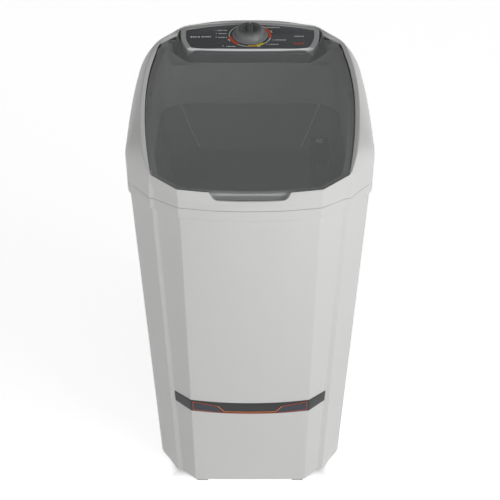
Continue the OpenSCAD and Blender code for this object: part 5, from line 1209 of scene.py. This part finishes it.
class WASHER_OT_stage(bpy.types.Operator):
    """White floor that keeps the shadow, soft studio light from the front right, and the camera"""
    bl_idname = "washer.stage"
    bl_label = "Stage"

    def execute(self, context):
        self.camera(context.scene)
        self.floor()
        self.studio(context.scene, context.scene.washer_sizes)
        context.scene.view_settings.view_transform = "Standard"
        return {"FINISHED"}

    def camera(self, scene):
        """The photograph's view: from straight in front, 30 degrees down."""
        lens = bpy.data.cameras.new("camera")
        lens.lens, lens.sensor_width = 72, 36
        scene.camera = linked("camera", lens)
        scene.camera.location = (0, -2.001, 1.643)
        scene.camera.rotation_euler = (math.radians(60), 0, 0)

    def floor(self):
        """White to the eye, and the shadow stays because its colour is lit."""
        half = 8
        flat = bpy.data.meshes.new("floor")
        flat.from_pydata([(-half, -half, 0), (half, -half, 0), (half, half, 0), (-half, half, 0)], [], [(0, 1, 2, 3)])
        mat = bpy.data.materials.new("white_studio_floor")
        tree = blank_tree(mat)
        lit = add(tree, "ShaderNodeBsdfDiffuse", {"Color": (0.95, 0.95, 0.95, 1)})
        glow = add(tree, "ShaderNodeEmission", {"Color": (1, 1, 1, 1), "Strength": 0.7})
        path = add(tree, "ShaderNodeLightPath")
        seen = add(tree, "ShaderNodeMath", {0: path.outputs["Is Camera Ray"], 1: path.outputs["Is Glossy Ray"]},
                   operation="MAXIMUM")
        # No glow under the machine, where the rear louvres look down on the floor
        at = add(tree, "ShaderNodeSeparateXYZ", {0: add(tree, "ShaderNodeTexCoord").outputs["Object"]})
        sides = []
        for axis, reach in (("X", 0.17), ("Y", 0.21)):
            away = add(tree, "ShaderNodeMath", {0: at.outputs[axis]}, operation="ABSOLUTE")
            sides.append(add(tree, "ShaderNodeMapRange", {
                "Value": away.outputs[0], "From Min": reach - 0.02, "From Max": reach + 0.02
            }).outputs["Result"])
        clear = add(tree, "ShaderNodeMath", {0: sides[0], 1: sides[1]}, operation="MAXIMUM")
        seen = add(tree, "ShaderNodeMath", {0: seen.outputs[0], 1: clear.outputs[0]}, operation="MULTIPLY")
        glow_on = add(tree, "ShaderNodeMixShader", {0: seen.outputs[0], 2: glow.outputs[0]})
        both_lit = add(tree, "ShaderNodeAddShader", {0: lit.outputs[0], 1: glow_on.outputs[0]})
        add(tree, "ShaderNodeOutputMaterial", {"Surface": both_lit.outputs[0]})
        flat.materials.append(mat)
        linked("floor", flat)

    def studio(self, scene, sizes):
        """Soft light, strongest level with the object, at the front and the right, and one large lamp.

        A direction's light is the square of 1 minus its height, so it is dim overhead. To the eye it is plain white.
        """
        scene.world = bpy.data.worlds.new("studio")
        tree = blank_tree(scene.world)
        path = add(tree, "ShaderNodeLightPath")
        way = add(tree, "ShaderNodeSeparateXYZ", {0: add(tree, "ShaderNodeTexCoord").outputs["Generated"]})
        low = add(tree, "ShaderNodeMapRange", {
            "Value": way.outputs["Z"], "From Min": 0.0, "From Max": 1.0, "To Min": 1.0, "To Max": 0.0
        })
        fall = add(tree, "ShaderNodeMath", {0: low.outputs["Result"], 1: 2.0}, operation="POWER")
        side = add(tree, "ShaderNodeMapRange", {
            "Value": way.outputs["X"], "From Min": -1.0, "From Max": 1.0,
            "To Min": sizes.horizon_light * (1 - sizes.right_share),
            "To Max": sizes.horizon_light * (1 + sizes.right_share)
        })
        rear = add(tree, "ShaderNodeMapRange", {
            "Value": way.outputs["Y"], "From Min": -1.0, "From Max": 1.0, "To Min": 1.3, "To Max": sizes.rear_share
        })
        soft = add(tree, "ShaderNodeMath", {0: fall.outputs[0], 1: side.outputs["Result"]}, operation="MULTIPLY")
        soft = add(tree, "ShaderNodeMath", {0: soft.outputs[0], 1: rear.outputs["Result"]}, operation="MULTIPLY")
        level = add(tree, "ShaderNodeMix", {
            0: path.outputs["Is Camera Ray"], 2: soft.outputs[0], 3: 1.0
        }, data_type="FLOAT")
        sky = add(tree, "ShaderNodeBackground", {"Color": (1, 1, 1, 1), "Strength": level.outputs[0]})
        add(tree, "ShaderNodeOutputWorld", {"Surface": sky.outputs[0]})
        light = bpy.data.lights.new("key", "AREA")
        light.shape, light.size, light.energy = "SQUARE", 1.5, sizes.key_light
        lamp = linked("key", light)
        lamp.location = (2.45, -2.35, 1.15)
        lamp.rotation_euler = (Vector((0, 0, 0.5)) - lamp.location).to_track_quat("-Z", "Y").to_euler()


class WASHER_PT_panel(bpy.types.Panel):
    """Lists the pieces in the sidebar"""
    bl_idname = "WASHER_PT_panel"
    bl_label = "Washing machine"
    bl_space_type = "VIEW_3D"
    bl_region_type = "UI"
    bl_category = "Washer"

    def draw(self, context):
        for op in OPERATORS:
            self.layout.operator(op.bl_idname)
        for group in (context.scene.washer_colours, context.scene.washer_sizes):
            for name in group.__annotations__:
                self.layout.prop(group, name)


OPERATORS = (
    WASHER_OT_stage, WASHER_OT_cabinet, WASHER_OT_cover, WASHER_OT_mouth, WASHER_OT_seals, WASHER_OT_ears,
    WASHER_OT_lid, WASHER_OT_console, WASHER_OT_knob, WASHER_OT_dial, WASHER_OT_strip, WASHER_OT_fittings
)
CLASSES = (WasherColours, WasherSizes, *OPERATORS, WASHER_PT_panel)


def register():
    for c in CLASSES:
        bpy.utils.register_class(c)
    bpy.types.Scene.washer_colours = bpy.props.PointerProperty(type=WasherColours)
    bpy.types.Scene.washer_sizes = bpy.props.PointerProperty(type=WasherSizes)


def unregister():
    del bpy.types.Scene.washer_sizes
    del bpy.types.Scene.washer_colours
    for c in reversed(CLASSES):
        bpy.utils.unregister_class(c)


def main():
    register()
    finishes(bpy.context.scene.washer_colours)
    for op in OPERATORS:
        getattr(bpy.ops.washer, op.bl_idname.split(".")[1])()


if __name__ == "__main__":
    main()
